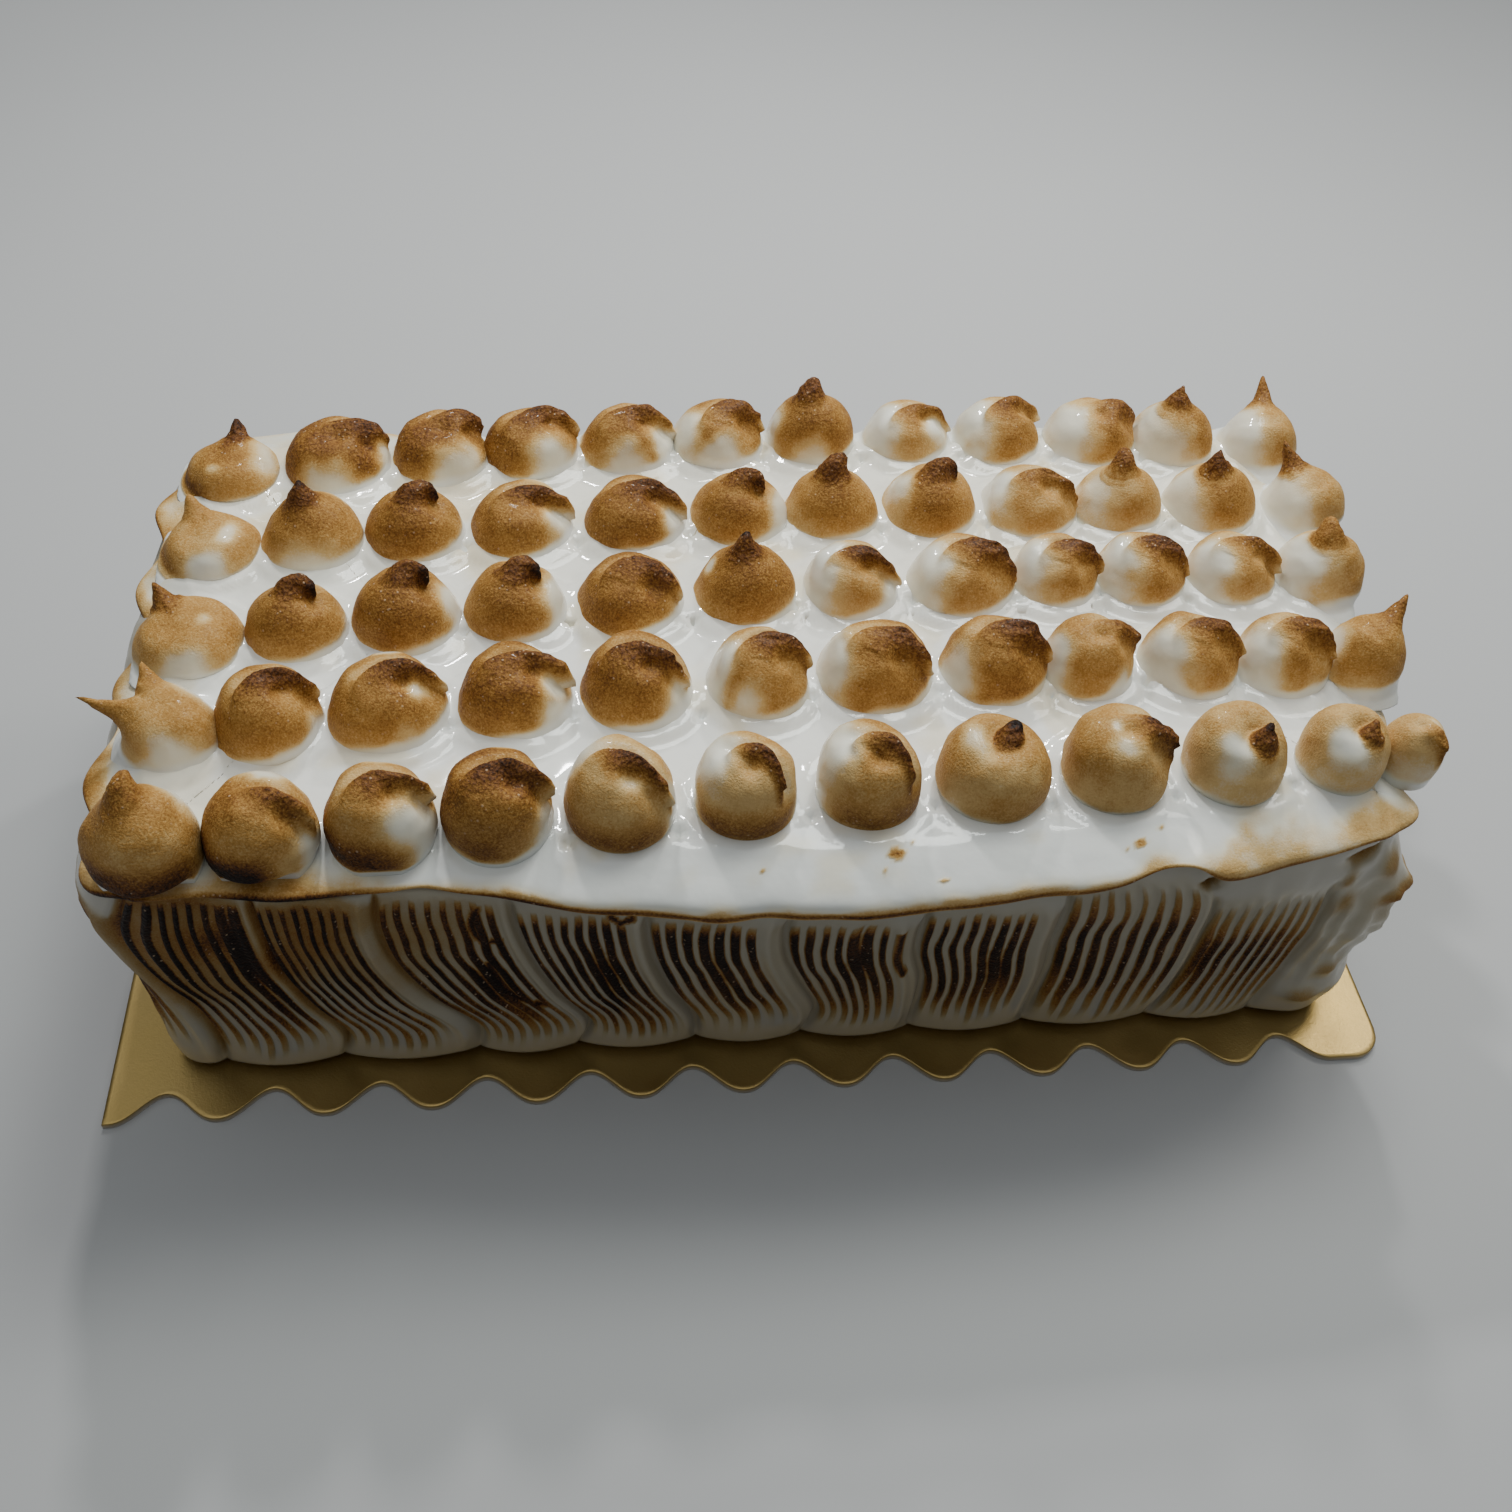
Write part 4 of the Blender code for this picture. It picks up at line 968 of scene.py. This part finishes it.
def kiss_surface(place, spec, row, seed):
    """A piped kiss as rings from its skirt to its middle, and how toasted each point is.

    A turned bun with its hollows is pushed out along the rays from its heart until each ray
    leaves the tip for the last time: the ray steps inwards from outside by the blended
    distance to bun and tip, blended widely at the tip's root and tightly at its edges.
    """
    name, lean_way, radius, height = spec[:4]
    kind, tall = KINDS[name], row["tall"] * height
    spread = np.linspace(0, TURN, KISS_ROUND, endpoint=False)
    angle = spread - 0.5 * np.sin(spread)
    section = bun_section(radius, tall, row["under"])
    ring_r, ring_z = section[:, :1], section[:, 1:]
    bun = np.stack([ring_r * np.cos(angle), ring_r * np.sin(angle), ring_z + 0 * angle], -1)
    place3 = np.array([place[0], place[1], SLAB_TOP])
    lump = layered(bun + place3, 12.0, seed) * 0.8 + layered(bun + place3, 3.6, seed + 5, 2) * 0.10
    heart = np.array([0.0, 0.0, HEART_SHARE * tall])
    ray = bun - heart
    reach = np.linalg.norm(ray, axis=-1)
    ray = ray / reach[..., None]
    reach = reach + lump * smooth(0.5, 3.0, bun[..., 2])
    ahead, aside = bun[..., 0] / radius, bun[..., 1] / radius
    upper = smooth(0.3, 0.6, bun[..., 2] / tall)
    for dip_ahead, dip_aside, wide, deep in kind.get("dips", ()):
        hollow = bell(np.hypot(ahead - dip_ahead, aside - dip_aside), wide) * upper
        reach = reach - deep * radius * hollow
    leaf, ring, crest_share = 0.0 * ahead, 0.0 * ahead, 0.0 * ahead
    if "crest" in kind:
        rise, crest_share, leaf, ring = crest_leaf(ahead, aside, kind["crest"])
        reach = reach + radius * rise * upper
        leaf, ring = leaf * upper, ring * upper
    chains = []
    for key in ("tip", "second"):
        if key in kind:
            chain = curve_through(kind[key], 14) * radius + (0, 0, tall, 0)
            chains.append(np.maximum(chain, (-99, -99, -99, 0.3)))
    tight, wide = kind["soft"]
    soft = (tight + (wide - tight) * smooth(-0.25, 0.45, -0.6 * ahead - 0.8 * aside)).reshape(-1)
    flat_ray, flat_reach = ray.reshape(-1, 3), reach.reshape(-1)
    outside = max(np.linalg.norm(chain[:, :3] - heart, axis=-1).max() for chain in chains) + 2.0
    far = np.where(bun[..., 2].reshape(-1) > 2.0, np.maximum(flat_reach, outside), flat_reach)
    for _ in range(RAY_STEPS):
        gap, _share = tip_distance(heart + far[:, None] * flat_ray, chains)
        step = smooth_least(far - flat_reach, gap, soft)
        far = far - RAY_STRIDE * np.maximum(step, 0.0)
    far = np.maximum(far, flat_reach)
    surface = heart + far[:, None] * flat_ray
    gap, share = tip_distance(surface, chains)
    shape = reach.shape
    gap, share, proud = gap.reshape(shape), share.reshape(shape), (far - flat_reach).reshape(shape)
    local = surface.reshape(shape + (3,))
    on_tip = smooth(0.1, 1.2, proud) * (1 - smooth(0.3, 1.6, gap))
    creased = (local + place3) * (0.35, 1.0, 1.0)
    folded = np.maximum(on_tip * smooth(0.1, 0.5, share), leaf * smooth(0.35, 0.6, crest_share))
    wrinkle = noise(creased, 1.5, seed + 9) * folded
    local = local + ray * (wrinkle * 0.62)[..., None]
    turn = math.radians(lean_way)
    px = local[..., 0] * math.cos(turn) - local[..., 1] * math.sin(turn)
    py = local[..., 0] * math.sin(turn) + local[..., 1] * math.cos(turn)
    points = np.stack([px, py, local[..., 2]], -1) + place3
    low = 1 - smooth(0.5, 3.0, local[..., 2])
    kept_x = np.clip(points[..., 0], SLAB_LEFT + 3, SLAB_RIGHT + 1)
    kept_y = np.clip(points[..., 1], SLAB_FRONT + 2, SLAB_BACK - 3)
    points[..., 0] += low * (kept_x - points[..., 0])
    points[..., 1] += low * (kept_y - points[..., 1])
    on_crest = (leaf * smooth(0.06, 0.24, crest_share), crest_share, ring)
    toast = kiss_toast(points, place3, (on_tip, share), on_crest, spec, row, seed)
    return points, {"toast": toast}


def kiss_toast(points, place3, tip, crest, spec, row, seed):
    """Browning from 0 to 1.

    The crown browns down to a wavy edge that lies higher at the front right. White spots stay
    bare and the ring behind the crest is paler. On the undercut front row the front faces are
    painted paler, painted light against the shade they stand in. Crest and tip darken to their
    ends, a dark tip scorches the crown before it, and one side of the foot may be charred.
    """
    name, lean_way, radius, height, brown, dark, whites, (char, char_way) = spec
    (on_tip, share), (on_crest, crest_share, ring) = tip, crest
    east, north = (points[..., 0] - place3[0]) / radius, (points[..., 1] - place3[1]) / radius
    high = (points[..., 2] - place3[2]) / (row["tall"] * height)
    patchy = layered(points, 6.0, seed + 2)
    bare = 0.0
    for way, far, wide in whites:
        turn = math.radians(way)
        along_way = east * math.cos(turn) + north * math.sin(turn) - far
        across = (north * math.cos(turn) - east * math.sin(turn)) / (1.0 + 0.9 * min(far, 1.0))
        gap = np.hypot(along_way, across) / wide + 0.22 * patchy
        bare = np.maximum(bare, (1 - smooth(0.30, 1.65, gap)) * (0.62 + 0.38 * smooth(0.4, 0.7, far)))
    foot = 0.05 - 0.03 * row["under"]
    foot = foot + (1 - row["under"]) * 0.17 * smooth(-0.2, 1.0, 0.85 * east - 0.50 * north)
    edge = smooth(foot, foot + 0.22 - 0.06 * row["under"], high + 0.05 * patchy)
    # The crown is paler in the ring behind the crest and lower down; on the undercut front row its front
    # faces are also painted paler, painted light against the shade they stand in.
    paling_and_painted_light = 1 - 0.35 * ring - 0.22 * smooth(0.1, 1.0, -north) * row["under"]
    paling_and_painted_light = paling_and_painted_light * (0.76 + 0.30 * smooth(0.15, 0.75, high))
    crown = brown * edge * (1 - 0.80 * bare) * (1 + 0.12 * patchy) * paling_and_painted_light
    if "crest" not in KINDS[name] and name not in ("nub", "button"):
        root_ahead, root_aside = KINDS[name]["tip"][1][:2]
        turn = math.radians(lean_way)
        root_east = root_ahead * math.cos(turn) - root_aside * math.sin(turn)
        root_north = root_ahead * math.sin(turn) + root_aside * math.cos(turn)
        scorch = bell(np.hypot(east - root_east, north - root_north + 0.30) + 0.10 * patchy, 0.50)
        crown = crown + (min(dark, 0.60) - crown) * scorch * 0.85 * smooth(0.5, 0.8, dark)
    low_tip = brown * (1 - 0.5 * bare)
    deep = min(dark, 0.76)
    reddened = smooth(0.14, 0.52, crest_share + 0.08 * patchy)
    reddened = reddened * (1 - 0.35 * smooth(0.80, 1.0, crest_share)) * (1 + 0.10 * patchy)
    leaf = low_tip + (deep - low_tip) * reddened
    toast = crown + (leaf - crown) * on_crest ** 0.8
    tip = low_tip + (min(dark, 0.70) - low_tip) * smooth(0.08, 0.46, share + 0.10 * patchy)
    tip = tip + max(dark - 0.70, 0.0) * smooth(0.62, 0.90, share + 0.06 * patchy)
    if name in ("comma", "flop", "ball", "lobe"):
        tip = deep * (0.85 - 0.60 * smooth(0.30, 0.90, share))
    toast = toast + (tip - toast) * on_tip * smooth(0.06, 0.30, share)
    turn = math.radians(char_way)
    towards = east * math.cos(turn) + north * math.sin(turn)
    burnt = char * smooth(0.05, 0.85, towards) * smooth(0.0, 0.06, high) * (1 - smooth(0.18, 0.70, high))
    return np.clip(toast + burnt, 0, 1)


def row_places(row):
    """Centres of the kisses of one row."""
    xs = row["x"] + np.concatenate([[0], np.cumsum(row["gaps"])])
    u = np.linspace(0, 1, len(xs))
    return np.stack([xs, row["y"] + row["rise"] * u - row["sag"] * u * u], -1)


def make_kisses(finish):
    """Each row of kisses as one piece that replaces the row's solid."""
    for number, row in enumerate(ROWS, start=1):
        sheets = []
        for index, (place, spec) in enumerate(zip(row_places(row), row["kisses"])):
            sheets.append(kiss_surface(place, spec, row, 100 * number + index))
        piece = mesh_piece(f"piped_kisses_{number}", sheets, finish)
        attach(piece, "root")
        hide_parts(f"kiss_row_{number}")


# ---------------------------------------------------------------- stage

def make_stage():
    """Grey floor, soft lights and the camera that looks down on the loaf's front."""
    bpy.ops.mesh.primitive_plane_add(size=8.0)
    floor = bpy.context.object
    floor.name = "studio_floor"
    finish, shader, wire = new_finish("grey_floor", Roughness=0.7)
    place = wire.node("ShaderNodeTexCoord", out=OBJECT)
    mottle = wire.node("ShaderNodeTexNoise", Vector=place, Scale=3.0)
    plug(shader, "Base Color", mottle.blend(rgb(0.40, 0.40, 0.40), rgb(0.44, 0.44, 0.44)))
    floor.data.materials.append(finish)
    world = bpy.data.worlds.new("studio")
    world.use_nodes = True
    sky = Wire(world.node_tree, None)
    towards = sky.node("ShaderNodeTexCoord", out=GENERATED)
    up = sky.node("ShaderNodeSeparateXYZ", out=UPWARD, Vector=towards)
    background = world.node_tree.nodes["Background"]
    background.inputs["Color"].default_value = rgb(0.92, 0.97, 1.0)
    plug(background, "Strength", up.ramp(0.45, 1.0, 0.02, 0.95))
    bpy.context.scene.world = world
    add_light("overhead", (0.17, 0.33, 0.84), (0.0, 0.0, 0.05), 0.30, 3.7, (0.95, 1.0, 0.96))
    add_light("back_right", (0.56, 0.34, 0.70), (0.10, 0.0, 0.05), 0.26, 1.6, (1.0, 0.98, 0.92))
    add_light("glint_left", (-0.10, 0.46, 0.62), (0.0, 0.0, 0.08), 0.05, 2.0, (1.0, 1.0, 1.0))
    add_light("glint_right", (0.20, 0.44, 0.50), (0.0, 0.0, 0.08), 0.04, 1.1, (1.0, 1.0, 1.0))
    add_camera()


def add_light(name, place, target, size, power, color):
    """A square area light aimed at a target."""
    data = bpy.data.lights.new(name, "AREA")
    data.size, data.energy, data.color = size, power, color
    light = bpy.data.objects.new(name, data)
    bpy.context.scene.collection.objects.link(light)
    light.location = place
    aim = np.array(target) - np.array(place)
    flat = math.hypot(aim[0], aim[1])
    light.rotation_euler = (math.atan2(flat, -aim[2]), 0.0, math.atan2(-aim[0], aim[1]))


CAMERA_PLACE = (-0.0404, -0.2757, 0.3396)
CAMERA_PITCH, CAMERA_YAW, CAMERA_ROLL = 47.74, 8.82, 4.69


def add_camera():
    """The camera: pitched down, turned a little right and rolled."""
    data = bpy.data.cameras.new("camera")
    data.lens = data.sensor_width = 36.0
    camera = bpy.data.objects.new("camera", data)
    bpy.context.scene.collection.objects.link(camera)
    camera.location = CAMERA_PLACE
    pitch, yaw, roll = (math.radians(angle) for angle in (CAMERA_PITCH, CAMERA_YAW, CAMERA_ROLL))
    turned = Matrix.Rotation(-yaw, 3, "Z") @ Matrix.Rotation(math.pi / 2 - pitch, 3, "X")
    camera.rotation_euler = (turned @ Matrix.Rotation(roll, 3, "Z")).to_euler()
    bpy.context.scene.camera = camera


make_stage()
make_kisses(meringue("torched_meringue_kiss", 0.08, 90.0))
make_body(meringue("spread_meringue_slab", 0.07, 110.0), meringue("combed_meringue_side", 0.22, 80.0, True),
          gold_foil("gold_foil_card"))
